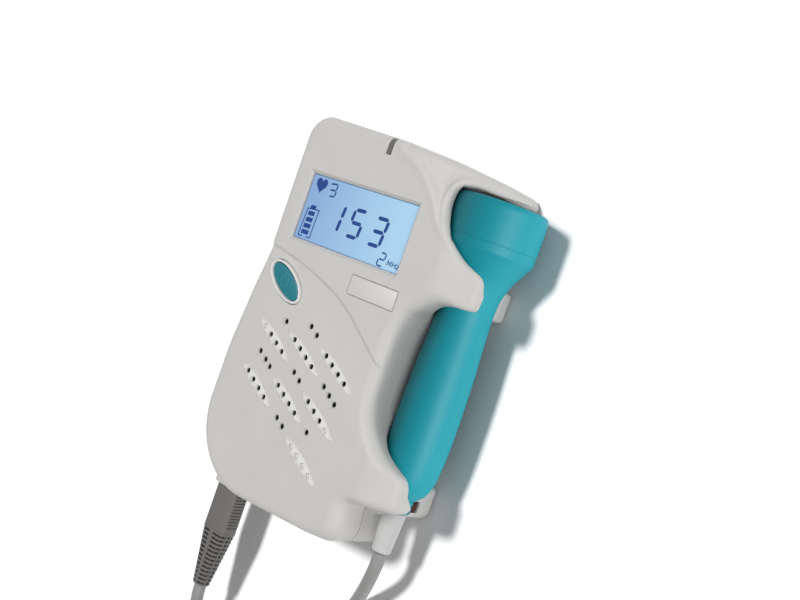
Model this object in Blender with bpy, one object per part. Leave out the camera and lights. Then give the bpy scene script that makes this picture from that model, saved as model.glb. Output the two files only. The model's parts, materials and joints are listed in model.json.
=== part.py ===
"""A handheld fetal doppler: a display unit with its ultrasound probe docked in its right side.

The unit lies on its back on Z = 0. +X points to the side where the probe slides out, +Y to
the end that holds the probe's head, and +Z out of the display. All lengths are in metres.
"""

import math

import bmesh
import bpy
from mathutils import Vector, geometry

# Driving dimensions of the whole product
OVERALL_WIDTH = 0.102
BODY_LENGTH = 0.140
BODY_HEIGHT = 0.035
PARTING_HEIGHT = 0.0225
WALL = 0.002
GAP = 0.0003
OVERRUN = 0.005
EDGE_RADIUS = 0.003
BACK_EDGE_RADIUS = 0.0025
ARC_TOLERANCE = 0.00012
ARC_STEP = math.radians(22)

# The front face slopes down to the lobes that hold the probe, and further to the arm's tip
LOBE_DROP = 0.0055
ARM_EXTRA_DROP = 0.0065
LEAST_RISE = 0.0002

# How finely round shapes are cut
SMOOTH_ANGLE = math.radians(35)
HALF_TURN_STEPS = 12
HOLE_SIDES = 8
LEAST_CORNER_COSINE = 0.5
MERGE_DISTANCE = 1e-7

# Probe
HEAD_RADIUS = 0.016
HEAD_LIFT = 0.001
HANDLE_RADIUS = 0.0105
NECK_RADIUS = 0.0092
PROBE_WALL = 0.0018
SEAM_SHARE = 0.634
DOCK_CLEARANCE = 0.0006
TAIL_RADIUS = 0.0048
TAIL_LENGTH = 0.0047
SPIGOT_RADIUS = 0.0033
BOOT_LENGTH = 0.0148
BOOT_RADIUS = 0.0042
BOOT_TIP_RADIUS = 0.0033
FACE_THICKNESS = 0.0036
FACE_DOME = 0.0006
CRYSTAL_THICKNESS = 0.0017
CRYSTAL_RADIUS = 0.0115
BACKING_THICKNESS = 0.0058
PROBE_BOARD_LENGTH = 0.062
PROBE_BOARD_THICKNESS = 0.0012

# Display
SCREEN_WIDTH = 0.0526
SCREEN_HEIGHT = 0.0242
SCREEN_X_SHARE = -0.2176
SCREEN_Y_SHARE = 0.52
SCREEN_RECESS = 0.0015
WINDOW_FLANGE = 0.0018
WINDOW_FLANGE_THICKNESS = 0.0013
GASKET_THICKNESS = 0.0004
GASKET_WIDTH = 0.0016
LCD_THICKNESS = 0.0024
BACKLIGHT_THICKNESS = 0.0038

# Power button and its ring
BUTTON_LENGTH = 0.0184
BUTTON_WIDTH = 0.0074
BUTTON_TURN = math.radians(-29)
BUTTON_X_SHARE = -0.6285
BUTTON_Y_SHARE = 0.1165
BUTTON_PROUD = 0.0006
BUTTON_TRAVEL = 0.0008
RING_WIDTH = 0.0011
RING_PROUD = 0.0007
RING_DEPTH = 0.0022
SWITCH_SIZE = 0.006

# Speaker and its holes
SPEAKER_RADIUS = 0.0225
SPEAKER_X_SHARE = -0.2451
SPEAKER_Y_SHARE = -0.4
SPEAKER_RIM = 0.0018
SPEAKER_DEPTH_SHARE = 0.5664
MAGNET_DEPTH_SHARE = 0.3636
SPEAKER_SKIN = 0.0008
MAGNET_RADIUS = 0.011
HOLE_RADIUS = 0.00095
HOLE_PITCH = 0.0044
HOLE_TURN = math.radians(-27.5)
ROW_PITCH_X = 0.0162
ROW_PITCH_Y = 0.0173
FIRST_ROW_X_SHARE = -0.553
FIRST_ROW_Y_SHARE = -0.18

# Name plate, left bare, and the indicator at the top edge
PLATE_WIDTH = 0.0216
PLATE_HEIGHT = 0.0066
PLATE_THICKNESS = 0.0005
PLATE_SINK = 0.0004
PLATE_X_SHARE = 0.1696
PLATE_Y_SHARE = 0.2271
INDICATOR_WIDTH = 0.0018
INDICATOR_LENGTH = 0.0048
INDICATOR_DEPTH = 0.004
INDICATOR_X_SHARE = -0.102

# Boards
BOARD_THICKNESS = 0.0016
BOARD_WIDTH = 0.051
BOARD_LOW_SHARE = 0.0
BOARD_CLEARANCE = 0.0024
LOWER_BOARD_HEIGHT = 0.0046
LOWER_BOARD_LENGTH = 0.049
LOWER_BOARD_WIDTH = 0.046
LOWER_BOARD_X_SHARE = -0.1765
LOWER_BOARD_Y_SHARE = 0.457
BOARD_X_SHARE = -0.206
STANDOFF_RADIUS = 0.0022
STANDOFF_CLEARANCE = 0.001
CHIP_HEIGHT = 0.0012
CHIP_SIZE = 0.007

# Batteries, their tray and door
CELL_RADIUS = 0.00715
CELL_LENGTH = 0.0495
CELL_NUB_RADIUS = 0.0026
CELL_NUB_LENGTH = 0.001
CELL_COUNT = 3
BATTERY_X_SHARE = -0.1961
BATTERY_END_SHARE = -0.90
TRAY_WALL = 0.0012
CONTACT_THICKNESS = 0.0004
CONTACT_SIZE = 0.009
DOOR_THICKNESS = 0.002
DOOR_SET_BACK = 0.001

# Screws
SCREW_RADIUS = 0.0014
SCREW_HEAD_RADIUS = 0.0025
SCREW_HEAD_HEIGHT = 0.0011
SCREW_SEAT_HEIGHT = 0.0155
SCREW_TIP_SHARE = 0.524
TUBE_RADIUS = 0.0038
POST_RADIUS = 0.0033

# Volume wheel
WHEEL_RADIUS = 0.0082
WHEEL_THICKNESS = 0.003
WHEEL_PROUD = 0.0015
WHEEL_HEIGHT = 0.0135
WHEEL_Y_SHARE = 0.6286
WHEEL_HUB_RADIUS = 0.0018
POT_SIZE = 0.009

# Sockets at the top end
JACK_HEIGHT = 0.012
AUDIO_X_SHARE = -0.39
AUDIO_NOSE_RADIUS = 0.0034
AUDIO_BORE_RADIUS = 0.0018
POWER_X_SHARE = -0.05
POWER_NOSE_RADIUS = 0.0042
POWER_BORE_RADIUS = 0.0028
POWER_PIN_RADIUS = 0.0009
JACK_BODY_EXTRA = 0.0012
JACK_LENGTH = 0.0125
JACK_SEAT_SHARE = 0.1

# Probe lead's plug and the unit's socket for it
PLUG_X_SHARE = -0.8176
PLUG_HEIGHT = 0.0155
PLUG_WIDTH = 0.0125
PLUG_THICKNESS = 0.008
PLUG_CORNER = 0.0025
PLUG_FRONT_SHARE = -0.743
GRIP_LENGTH = 0.039
RELIEF_LENGTH = 0.0222
RELIEF_TIP_RADIUS = 0.0032
RELIEF_CORNER_SHARE = 0.98
RELIEF_STEPS = 5
BARREL_RADIUS = 0.0038
BARREL_WALL = 0.0006
BARREL_LENGTH = 0.0125
PIN_RADIUS = 0.0005
PIN_LENGTH = 0.009
PIN_CIRCLE = 0.0019
PIN_COUNT = 5
COLLAR_WALL = 0.0013
COLLAR_LENGTH = 0.018
SOCKET_RADIUS = 0.0053
SOCKET_LENGTH = 0.0165

# Bumper on the rear tab
BUMPER_SIZE = 0.0032
BUMPER_LENGTH = 0.0036
BUMPER_OFFSET = 0.0006
BUMPER_Y_SHARE = -0.685

# Lead
CORD_DIAMETER = 0.0047
COIL_OUTER_RADIUS = 0.031
COIL_PITCH = 0.0052
COIL_RISE = 0.0052
COIL_TURNS = 5.5
COIL_CENTRE_X = -0.013
COIL_CENTRE_Y = -0.150
COIL_POINTS_PER_TURN = 24
TIE_THICKNESS = 0.0005
TIE_WIDTH = 0.005
TIE_ANGLE = math.radians(-75)

HALF_WIDTH = OVERALL_WIDTH / 2
HALF_LENGTH = BODY_LENGTH / 2
AXIS_X = HALF_WIDTH - HEAD_RADIUS
AXIS_Z = HEAD_RADIUS + HEAD_LIFT
UNDERSIDE = BODY_HEIGHT - WALL
# The display's layers hang from the underside of the face, down to the main board
WINDOW_LOW = UNDERSIDE - GAP - WINDOW_FLANGE_THICKNESS
GASKET_LOW = WINDOW_LOW - GAP - GASKET_THICKNESS
LCD_LOW = GASKET_LOW - GAP - LCD_THICKNESS
BACKLIGHT_LOW = LCD_LOW - GAP - BACKLIGHT_THICKNESS
BOARD_HEIGHT = BACKLIGHT_LOW - GAP - BOARD_THICKNESS
SCREW_TIP_HEIGHT = PARTING_HEIGHT + SCREW_TIP_SHARE * (UNDERSIDE - PARTING_HEIGHT)
TRAY_TOP = DOOR_THICKNESS + 3 * GAP + 2 * CELL_RADIUS + TRAY_WALL
SPEAKER_ROOM = UNDERSIDE - GAP - TRAY_TOP

# Corners of the case, as shares of its half width and half length, each with the radius of
# its rounding as a share of the half width
front_outline_shares = (
    (-0.9216, 1.003, 0.176),
    (0.0, 0.975, 0.9),
    (0.46, 0.945, 0.8),
    (0.99, 0.864, 0.062),
    (0.99, 0.79, 0.07),
    (0.9333, 0.70, 0.02),
    (0.9333, 0.10, 0.3),
    (0.884, -0.20, 0.3),
    (0.884, -0.69, 0.07),
    (0.5255, -0.733, 0.05),
    (0.555, -0.955, 0.137),
    (-0.40, -1.0, 0.3),
    (-1.006, -1.004, 0.56),
    (-1.0, -0.30, 1.2),
    (-0.9147, 0.28, 0.8),
)
rear_outline_shares = (
    (-0.9216, 1.003, 0.176),
    (0.0, 0.975, 0.9),
    (0.46, 0.945, 0.8),
    (0.745, 0.905, 0.07),
    (0.745, 0.74, 0.02),
    (0.776, 0.46, 0.07),
    (0.776, 0.29, 0.07),
    (0.735, 0.0, 0.03),
    (0.735, -0.753, 0.07),
    (0.528, -0.753, 0.03),
    (0.555, -0.955, 0.137),
    (-0.40, -1.0, 0.3),
    (-1.006, -1.004, 0.56),
    (-1.0, -0.30, 1.2),
    (-0.9147, 0.28, 0.8),
)
# Rims of the head pocket and of the finger scoop, from the right side in and out again
front_pocket_shares = (
    (1.3, 0.8415), (0.72, 0.849), (0.645, 0.8514), (0.58, 0.843), (0.535, 0.8186),
    (0.515, 0.786), (0.513, 0.7486), (0.548, 0.683), (0.6, 0.6214), (0.675, 0.5629),
    (0.755, 0.5157), (0.822, 0.4914), (0.872, 0.4771), (0.91, 0.46), (0.93, 0.435),
    (0.936, 0.41), (1.3, 0.40),
)
front_scoop_shares = (
    (1.3, 0.36), (0.936, 0.35), (0.926, 0.325), (0.895, 0.3086), (0.83, 0.303),
    (0.73, 0.2971), (0.6471, 0.2786), (0.565, 0.2371), (0.496, 0.1943), (0.455, 0.1171),
    (0.443, 0.03), (0.443, -0.09), (0.443, -0.2043), (0.4588, -0.27), (0.5059, -0.3457),
    (0.5824, -0.4086), (0.6824, -0.4643), (0.7824, -0.5014), (0.84, -0.52),
    (0.868, -0.54), (0.884, -0.57), (0.888, -0.61), (1.3, -0.62),
)
rear_pocket_shares = (
    (1.3, 0.8415), (0.72, 0.849), (0.645, 0.8514), (0.58, 0.843), (0.535, 0.8186),
    (0.515, 0.786), (0.513, 0.7486), (0.548, 0.683), (0.6, 0.6214), (0.65, 0.55),
    (0.695, 0.485), (0.735, 0.445), (0.79, 0.437), (1.3, 0.437),
)
rear_scoop_shares = (
    (1.3, 0.284), (0.83, 0.284), (0.745, 0.284), (0.64, 0.2671), (0.565, 0.2386),
    (0.496, 0.1943), (0.455, 0.1171), (0.443, 0.03), (0.443, -0.09), (0.443, -0.2043),
    (0.4588, -0.27), (0.5059, -0.3457), (0.565, -0.43), (0.62, -0.515), (0.665, -0.568),
    (0.72, -0.584), (1.3, -0.586),
)
# The probe's outline: place along Y as a share of the half length, radius as a share of the
# named radius beside it
head_shares = ((0.832, 0.95), (0.82, 1.0), (0.635, 1.0))
cone_shares = ((0.592, 1.0), (0.53, 0.845), (0.466, 0.70))
neck_shares = ((0.39, 1.045), (0.29, 1.0))
handle_shares = (
    (0.14, 0.914), (0.014, 0.962), (-0.2, 1.0), (-0.36, 1.0), (-0.457, 0.971),
    (-0.543, 0.905), (-0.60, 0.77), (-0.63, 0.60), (-0.643, 0.52),
)
post_shares = ((-0.794, 0.857), (0.2255, 0.871), (-0.8235, -0.386), (0.343, -0.80))
upper_standoff_shares = (-0.66, 0.216)
free_standoff_shares = ((-0.4, 0.057), (0.235, 0.09))
lower_standoff_shares = ((-0.55, 0.78), (0.2, 0.78), (-0.55, 0.13), (0.2, 0.13))
main_chip_share = (-0.2, -0.05)
sound_chip_share = (0.28, -0.3)
# Rows of speaker holes: column, row, first hole and number of holes on the row's slanted
# line. The rows on a raised leaf have four holes, counted from the leaf's end.
leaf_places = ((0, 0), (1, 0), (2, 0), (0, 1), (1, 1), (2, 1), (2, 2))
leaf_holes = 4
loose_rows = (
    (0, 0.0, 0.66, 0.44, 1), (1, 0.0, -0.25, 0.555, 2), (0, 0.5, -1.05, 0.153, 3),
    (1, 0.5, -0.36, 0.061, 2), (2, 0.5, -0.52, 0.066, 3), (1, 1.5, -0.5, 0.066, 2),
    (2, 1.5, -0.66, 0.09, 1),
)
# The lead's free stretches, as points chosen by hand along the floor
probe_run_points = (
    (0.0350, -0.0654, 0.0170), (0.0347, -0.0700, 0.0165), (0.0330, -0.0750, 0.0148),
    (0.0298, -0.0808, 0.0115), (0.0258, -0.0868, 0.0076), (0.0222, -0.0925, 0.0046),
    (0.0198, -0.0990, 0.0032), (0.0186, -0.1070, 0.0030), (0.0181, -0.1160, 0.0034),
    (0.0180, -0.1250, 0.0046), (0.0180, -0.1340, 0.0066), (0.0180, -0.1400, 0.0078),
    (0.0180, -0.1445, 0.00830),
)
plug_run_points = (
    (-0.0417, -0.1138, 0.0155), (-0.0417, -0.1185, 0.0151), (-0.0421, -0.1235, 0.0135),
    (-0.0428, -0.1290, 0.0103), (-0.0435, -0.1345, 0.0066), (-0.0439, -0.1400, 0.0040),
    (-0.0440, -0.1445, 0.00320),
)


def clear_scene():
    for obj in list(bpy.data.objects):
        bpy.data.objects.remove(obj, do_unlink=True)


def material(name, color, roughness, metallic=0.0, alpha=1.0):
    made = bpy.data.materials.new(name)
    made.use_nodes = True
    made.diffuse_color = (*color, alpha)
    shader = made.node_tree.nodes["Principled BSDF"]
    shader.inputs["Base Color"].default_value = (*color, 1.0)
    shader.inputs["Roughness"].default_value = roughness
    shader.inputs["Metallic"].default_value = metallic
    shader.inputs["Alpha"].default_value = alpha
    return made


def add_object(name, mesh_data, skin=None, smooth=False):
    obj = bpy.data.objects.new(name, mesh_data)
    bpy.context.scene.collection.objects.link(obj)
    if skin is None:
        obj.hide_render = True
        obj.display_type = "WIRE"
    else:
        mesh_data.materials.append(skin)
    if smooth:
        mesh_data.shade_smooth()
        mesh_data.set_sharp_from_angle(angle=SMOOTH_ANGLE)
    return obj


def finish_mesh(bm, name):
    bmesh.ops.recalc_face_normals(bm, faces=bm.faces)
    data = bpy.data.meshes.new(name)
    bm.to_mesh(data)
    bm.free()
    return data


# The shells meet many curved cutters, where the exact solver leaves open edges
SHELL_SOLVER = "MANIFOLD"


def modify(target, tool, operation, solver="EXACT"):
    mod = target.modifiers.new(tool.name, "BOOLEAN")
    mod.operation = operation
    mod.solver = solver
    mod.object = tool


def carve(target, *tools):
    for tool in tools:
        modify(target, tool, "DIFFERENCE")


def fuse(target, *tools):
    for tool in tools:
        modify(target, tool, "UNION")


def carve_shell(target, *tools):
    for tool in tools:
        modify(target, tool, "DIFFERENCE", SHELL_SOLVER)


def fuse_shell(target, *tools):
    for tool in tools:
        modify(target, tool, "UNION", SHELL_SOLVER)


def rounded_loop(corner_shares):
    """The closed outline whose corners are rounded, as points a few degrees apart."""
    corners = [
        (Vector((x * HALF_WIDTH, y * HALF_LENGTH)), r * HALF_WIDTH)
        for x, y, r in corner_shares
    ]
    points = []
    for i, (corner, radius) in enumerate(corners):
        before = (corners[i - 1][0] - corner).normalized()
        after = (corners[(i + 1) % len(corners)][0] - corner).normalized()
        opening = before.angle(after)
        reach = radius / math.tan(opening / 2)
        start, end = corner + before * reach, corner + after * reach
        centre = corner + (before + after).normalized() * radius / math.sin(opening / 2)
        finest = 2 * math.acos(1 - ARC_TOLERANCE / radius)
        steps = max(1, math.ceil((math.pi - opening) / min(finest, ARC_STEP)))
        for k in range(steps + 1):
            spoke = (start - centre).lerp(end - centre, k / steps).normalized()
            points.append(tuple(centre + spoke * radius))
    return points


def smooth_path(shares, steps=2):
    """A smooth curve through points given as shares of the half sizes."""
    given = [Vector((x * HALF_WIDTH, y * HALF_LENGTH)) for x, y in shares]
    return [tuple(p) for p in spline(given, steps)]


def spline(given, steps):
    """A centripetal Catmull-Rom curve, which stays free of loops where the spacing jumps."""
    padded = [given[0] * 2 - given[1], *given, given[-1] * 2 - given[-2]]
    made = []
    for before, start, end, after in zip(padded, given, given[1:], padded[3:]):
        a, b, c = [
            math.sqrt(math.dist(p, q)) for p, q in ((before, start), (start, end), (end, after))
        ]
        into = ((start - before) / a - (end - before) / (a + b) + (end - start) / b) * b
        out = ((end - start) / b - (after - start) / (b + c) + (after - end) / c) * b
        for k in range(steps):
            t = k / steps
            made.append(
                start * (2 * t**3 - 3 * t**2 + 1)
                + into * (t**3 - 2 * t**2 + t)
                + end * (3 * t**2 - 2 * t**3)
                + out * (t**3 - t**2)
            )
    made.append(given[-1])
    return made


def area_of(loop):
    return sum(
        a[0] * b[1] - b[0] * a[1] for a, b in zip(loop, loop[1:] + loop[:1])
    ) / 2


def inset(loop, distance):
    """The loop moved inwards by distance, or outwards where it is negative."""
    turn = 1 if area_of(loop) > 0 else -1
    moved = []
    for i, point in enumerate(loop):
        here = Vector(point)
        along_in = (here - Vector(loop[i - 1])).normalized()
        along_out = (Vector(loop[(i + 1) % len(loop)]) - here).normalized()
        normal_in = Vector((-along_in.y, along_in.x)) * turn
        normal_out = Vector((-along_out.y, along_out.x)) * turn
        middle = (normal_in + normal_out).normalized()
        reach = distance / max(middle.dot(normal_in), LEAST_CORNER_COSINE)
        moved.append(tuple(here + middle * reach))
    return moved


def smoothstep(value):
    t = min(max(value, 0.0), 1.0)
    return t * t * (3 - 2 * t)


# Where the slope of the front face starts and ends, as shares of the half sizes
slope_band_shares = (0.514, 0.943)
arm_band_shares = (0.514, 0.8)
slope_start_shares = (0.588, 0.157)
slope_end_shares = (0.933, 0.994)
SLOPE_POWER = 1.6


def face_height(x, y):
    """Height of the outer front face over a point of the plan."""
    low, high = slope_band_shares
    rise = smoothstep((y / HALF_LENGTH - low) / (high - low))
    arm_low, arm_high = arm_band_shares
    arm = smoothstep((y / HALF_LENGTH - arm_low) / (arm_high - arm_low))
    start = slope_start_shares[0] + (slope_start_shares[1] - slope_start_shares[0]) * rise
    end = slope_end_shares[0] + (slope_end_shares[1] - slope_end_shares[0]) * arm
    along = min(max((x / HALF_WIDTH - start) / (end - start), 0.0), 1.0)
    return BODY_HEIGHT - (LOBE_DROP + ARM_EXTRA_DROP * arm) * along**SLOPE_POWER


def loft(rings, name):
    """A closed body through rings of equal length, with flat ends."""
    bm = bmesh.new()
    rows = [[bm.verts.new(p) for p in ring] for ring in rings]
    for lower, upper in zip(rows, rows[1:]):
        for i in range(len(lower)):
            j = (i + 1) % len(lower)
            bm.faces.new((lower[i], lower[j], upper[j], upper[i]))
    bm.faces.new(rows[0])
    bm.faces.new(rows[-1])
    return finish_mesh(bm, name)


def prism(loop, low, high, name):
    return loft([[(x, y, z) for x, y in loop] for z in (low, high)], name)


def box_mesh(low, high, name):
    loop = ((low[0], low[1]), (high[0], low[1]), (high[0], high[1]), (low[0], high[1]))
    return prism(loop, low[2], high[2], name)


def ellipse(centre, length, width, turn, steps=32):
    made = []
    for k in range(steps):
        a = 2 * math.pi * k / steps
        u, v = length / 2 * math.cos(a), width / 2 * math.sin(a)
        made.append(
            (
                centre[0] + u * math.cos(turn) - v * math.sin(turn),
                centre[1] + u * math.sin(turn) + v * math.cos(turn),
            )
        )
    return made


def turned(profile, centre, name, axis="Y", sides=32):
    """A body turned about an axis through centre. The profile is a list of (radius, place
    along the axis); it is open at radius zero and otherwise closes on itself."""
    bm = bmesh.new()
    rows = []
    for radius, place in profile:
        if radius == 0:
            rows.append([bm.verts.new(turned_point(centre, axis, 0, place, 0))])
            continue
        rows.append(
            [
                bm.verts.new(
                    turned_point(centre, axis, radius, place, 2 * math.pi * k / sides)
                )
                for k in range(sides)
            ]
        )
    pairs = list(zip(rows, rows[1:]))
    if profile[0][0] != 0:
        pairs.append((rows[-1], rows[0]))
    for lower, upper in pairs:
        for i in range(sides):
            j = (i + 1) % sides
            if len(lower) == 1:
                bm.faces.new((lower[0], upper[j], upper[i]))
            elif len(upper) == 1:
                bm.faces.new((lower[i], lower[j], upper[0]))
            else:
                bm.faces.new((lower[i], lower[j], upper[j], upper[i]))
    return finish_mesh(bm, name)


def turned_point(centre, axis, radius, place, angle):
    u, v = radius * math.cos(angle), radius * math.sin(angle)
    if axis == "Y":
        return (centre[0] + u, place, centre[2] + v)
    return (centre[0] + u, centre[1] + v, place)


def rod(centre, radius, low, high, name, axis="Z", sides=24):
    return turned(((0, low), (radius, low), (radius, high), (0, high)), centre, name, axis, sides)


def edge_y(loop, x):
    """The highest place where the loop crosses a line of constant x."""
    found = []
    for (x0, y0), (x1, y1) in zip(loop, loop[1:] + loop[:1]):
        if min(x0, x1) <= x <= max(x0, x1) and x0 != x1:
            found.append(y0 + (y1 - y0) * (x - x0) / (x1 - x0))
    return max(found)


def edge_x(loop, y):
    """The place furthest left where the loop crosses a line of constant y."""
    found = []
    for (x0, y0), (x1, y1) in zip(loop, loop[1:] + loop[:1]):
        if min(y0, y1) <= y <= max(y0, y1) and y0 != y1:
            found.append(x0 + (x1 - x0) * (y - y0) / (y1 - y0))
    return min(found)


# A quarter round in three steps: the shares of its radius gone inwards and still to climb
ROUNDING_MIDDLE = 1 - math.sqrt(0.5)
rounding_shares = ((0.0, 1.0), (ROUNDING_MIDDLE, ROUNDING_MIDDLE), (1.0, 0.0))


def front_block(loop, sunk, low, radius, name):
    """The solid between a level plane and the front face, sunk below it by a distance."""
    rings = [[(x, y, low) for x, y in loop]]
    for step, (inwards, below) in enumerate(rounding_shares):
        least = low + LEAST_RISE * (step + 1)
        ring = inset(loop, radius * inwards)
        rings.append(
            [(x, y, max(face_height(x, y) - sunk - radius * below, least)) for x, y in ring]
        )
    bm = bmesh.new()
    rows = [[bm.verts.new(p) for p in ring] for ring in rings]
    for lower, upper in zip(rows, rows[1:]):
        for i in range(len(lower)):
            j = (i + 1) % len(lower)
            bm.faces.new((lower[i], lower[j], upper[j], upper[i]))
    bm.faces.new(rows[0])
    cap(bm, rows[-1], sunk)
    return finish_mesh(bm, name)


cap_grid_shares = (0.34, 0.52, 0.70, 0.86)
CAP_ROWS = 14


def cap(bm, rim, sunk):
    """Fills the rim with triangles whose inner corners follow the sloping face."""
    flat = [Vector((v.co.x, v.co.y)) for v in rim]
    count = len(flat)
    inner = []
    for step in range(CAP_ROWS + 1):
        y = HALF_LENGTH * (2 * step / CAP_ROWS - 1)
        for share in cap_grid_shares:
            x = share * HALF_WIDTH
            if inside(flat, x, y) and min((Vector((x, y)) - p).length for p in flat) > WALL:
                inner.append(Vector((x, y)))
    loop = [(i, (i + 1) % count) for i in range(count)]
    found = geometry.delaunay_2d_cdt(flat + inner, loop, [], 1, MERGE_DISTANCE)
    made = []
    for place, origin in zip(found[0], found[3]):
        if origin and origin[0] < count:
            made.append(rim[origin[0]])
        else:
            made.append(bm.verts.new((place.x, place.y, face_height(place.x, place.y) - sunk)))
    for face in found[2]:
        bm.faces.new([made[i] for i in face])


def inside(loop, x, y):
    odd = False
    for a, b in zip(loop, loop[1:] + loop[:1]):
        if (a.y > y) != (b.y > y) and x < (b.x - a.x) * (y - a.y) / (b.y - a.y) + a.x:
            odd = not odd
    return odd


def rear_block(loop, low, high, radius, name):
    rings = []
    for up, inwards in rounding_shares:
        rings.append([(x, y, low + radius * up) for x, y in inset(loop, radius * inwards)])
    rings.append([(x, y, high) for x, y in loop])
    return loft(rings, name)


def probe_profile():
    """The probe's outer radius along Y, from its face to the end of its handle."""
    made = [(HEAD_RADIUS * r, HALF_LENGTH * y) for y, r in head_shares]
    made += [(HEAD_RADIUS * r, HALF_LENGTH * y) for y, r in cone_shares]
    made += [(NECK_RADIUS * r, HALF_LENGTH * y) for y, r in neck_shares]
    made += [(HANDLE_RADIUS * r, HALF_LENGTH * y) for y, r in handle_shares]
    return made


def dock_channel(extra, name):
    """The probe's shape grown by a clearance and swept out to the right."""
    profile = [(r + extra, y) for r, y in probe_profile()]
    profile[0] = (HEAD_RADIUS + extra, profile[0][1] + extra)
    end = profile[-1][1] - extra
    while profile[-1][0] < BOOT_RADIUS + DOCK_CLEARANCE + extra:
        profile.pop()
    profile.append((BOOT_RADIUS + DOCK_CLEARANCE + extra, end))
    profile.append((BOOT_RADIUS + DOCK_CLEARANCE + extra, -HALF_LENGTH - OVERRUN))
    reach = OVERALL_WIDTH
    rings = []
    for radius, y in profile:
        ring = []
        for k in range(HALF_TURN_STEPS + 1):
            a = math.pi * (0.5 + k / HALF_TURN_STEPS)
            ring.append((AXIS_X + radius * math.cos(a), y, AXIS_Z + radius * math.sin(a)))
        ring.append((AXIS_X + reach, y, AXIS_Z - radius))
        ring.append((AXIS_X + reach, y, AXIS_Z + radius))
        rings.append(ring)
    return loft(rings, name)


def side_cutters(prefix, pocket_shares, scoop_shares, extra):
    """The head pocket, the finger scoop and the probe's channel, grown by extra."""
    made = [add_object(prefix + "_channel_cut", dock_channel(DOCK_CLEARANCE + extra, prefix))]
    for name, shares in (("pocket", pocket_shares), ("scoop", scoop_shares)):
        loop = inset(smooth_path(shares), -extra)
        data = prism(loop, -OVERRUN, BODY_HEIGHT + OVERRUN, name)
        made.append(add_object(f"{prefix}_{name}_cut", data))
    return made


def place(shares):
    return (shares[0] * HALF_WIDTH, shares[1] * HALF_LENGTH)


def build_front_shell(skins):
    loop = rounded_loop(front_outline_shares)
    low = PARTING_HEIGHT + GAP
    data = front_block(loop, 0, low, EDGE_RADIUS, "front_shell")
    shell = add_object("front_shell", data, skins["case"], True)
    data = front_block(inset(loop, WALL), WALL, low - OVERRUN, EDGE_RADIUS - WALL, "front_hollow")
    hollow = add_object("front_hollow", data)
    rims = (front_pocket_shares, front_scoop_shares)
    carve_shell(hollow, *side_cutters("front_inner", *rims, WALL))
    carve_shell(shell, *side_cutters("front", *rims, 0))
    carve_shell(shell, hollow)
    posts = []
    top = UNDERSIDE + WALL / 2
    for i, shares in enumerate(post_shares):
        posts.append(add_object(f"post_{i}", rod(place(shares), POST_RADIUS, low, top, "post")))
    foot = BOARD_HEIGHT + BOARD_THICKNESS + GAP
    for i, spot in enumerate(standoff_places()):
        data = rod(spot, STANDOFF_RADIUS, foot, top, "standoff", sides=16)
        posts.append(add_object(f"standoff_{i}", data))
    fuse_shell(shell, *posts)
    holes = []
    radius, top = SCREW_RADIUS + GAP, SCREW_TIP_HEIGHT + GAP
    for i, shares in enumerate(post_shares):
        data = rod(place(shares), radius, low - OVERRUN, top, "screw_hole")
        holes.append(add_object(f"post_hole_{i}", data))
    carve_shell(shell, *holes)
    carve_shell(shell, window_cutter(), ring_cutter(), plate_cutter(), indicator_cutter(loop))
    carve_shell(shell, speaker_cutter())
    return loop


def standoff_places():
    """Two standoffs above the display's flange and two free ones below it."""
    y = SCREEN_Y_SHARE * HALF_LENGTH + SCREEN_HEIGHT / 2 - GAP + WINDOW_FLANGE
    y += STANDOFF_RADIUS + STANDOFF_CLEARANCE
    made = [(x * HALF_WIDTH, y) for x in upper_standoff_shares]
    return made + [place(shares) for shares in free_standoff_shares]


def window_cutter():
    x, y = SCREEN_X_SHARE * HALF_WIDTH, SCREEN_Y_SHARE * HALF_LENGTH
    low = (x - SCREEN_WIDTH / 2, y - SCREEN_HEIGHT / 2, UNDERSIDE - OVERRUN)
    high = (x + SCREEN_WIDTH / 2, y + SCREEN_HEIGHT / 2, BODY_HEIGHT + OVERRUN)
    return add_object("window_cut", box_mesh(low, high, "window_cut"))


def button_centre():
    return (BUTTON_X_SHARE * HALF_WIDTH, BUTTON_Y_SHARE * HALF_LENGTH)


def ring_size(extra):
    grow = 2 * (GAP + RING_WIDTH + extra)
    return BUTTON_LENGTH + grow, BUTTON_WIDTH + grow


def ring_cutter():
    length, width = ring_size(GAP)
    loop = ellipse(button_centre(), length, width, BUTTON_TURN)
    data = prism(loop, UNDERSIDE - OVERRUN, BODY_HEIGHT + OVERRUN, "ring_cut")
    return add_object("ring_cut", data)


def plate_box(extra, low, high, name):
    x, y = PLATE_X_SHARE * HALF_WIDTH, PLATE_Y_SHARE * HALF_LENGTH
    u, v = PLATE_WIDTH / 2 + extra, PLATE_HEIGHT / 2 + extra
    return box_mesh((x - u, y - v, low), (x + u, y + v, high), name)


def plate_cutter():
    low = BODY_HEIGHT - PLATE_SINK - GAP
    return add_object("plate_cut", plate_box(GAP, low, BODY_HEIGHT + OVERRUN, "plate_cut"))


def indicator_box(loop, extra, name):
    x = INDICATOR_X_SHARE * HALF_WIDTH
    top = edge_y(loop, x)
    half = INDICATOR_WIDTH / 2 + extra
    low = (x - half, top - INDICATOR_LENGTH - extra - EDGE_RADIUS / 2, 0)
    high = (x + half, top + OVERRUN, BODY_HEIGHT + OVERRUN)
    return box_mesh((*low[:2], BODY_HEIGHT - INDICATOR_DEPTH - extra), high, name)


def indicator_cutter(loop):
    return add_object("indicator_cut", indicator_box(loop, GAP, "indicator_cut"))


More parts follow.
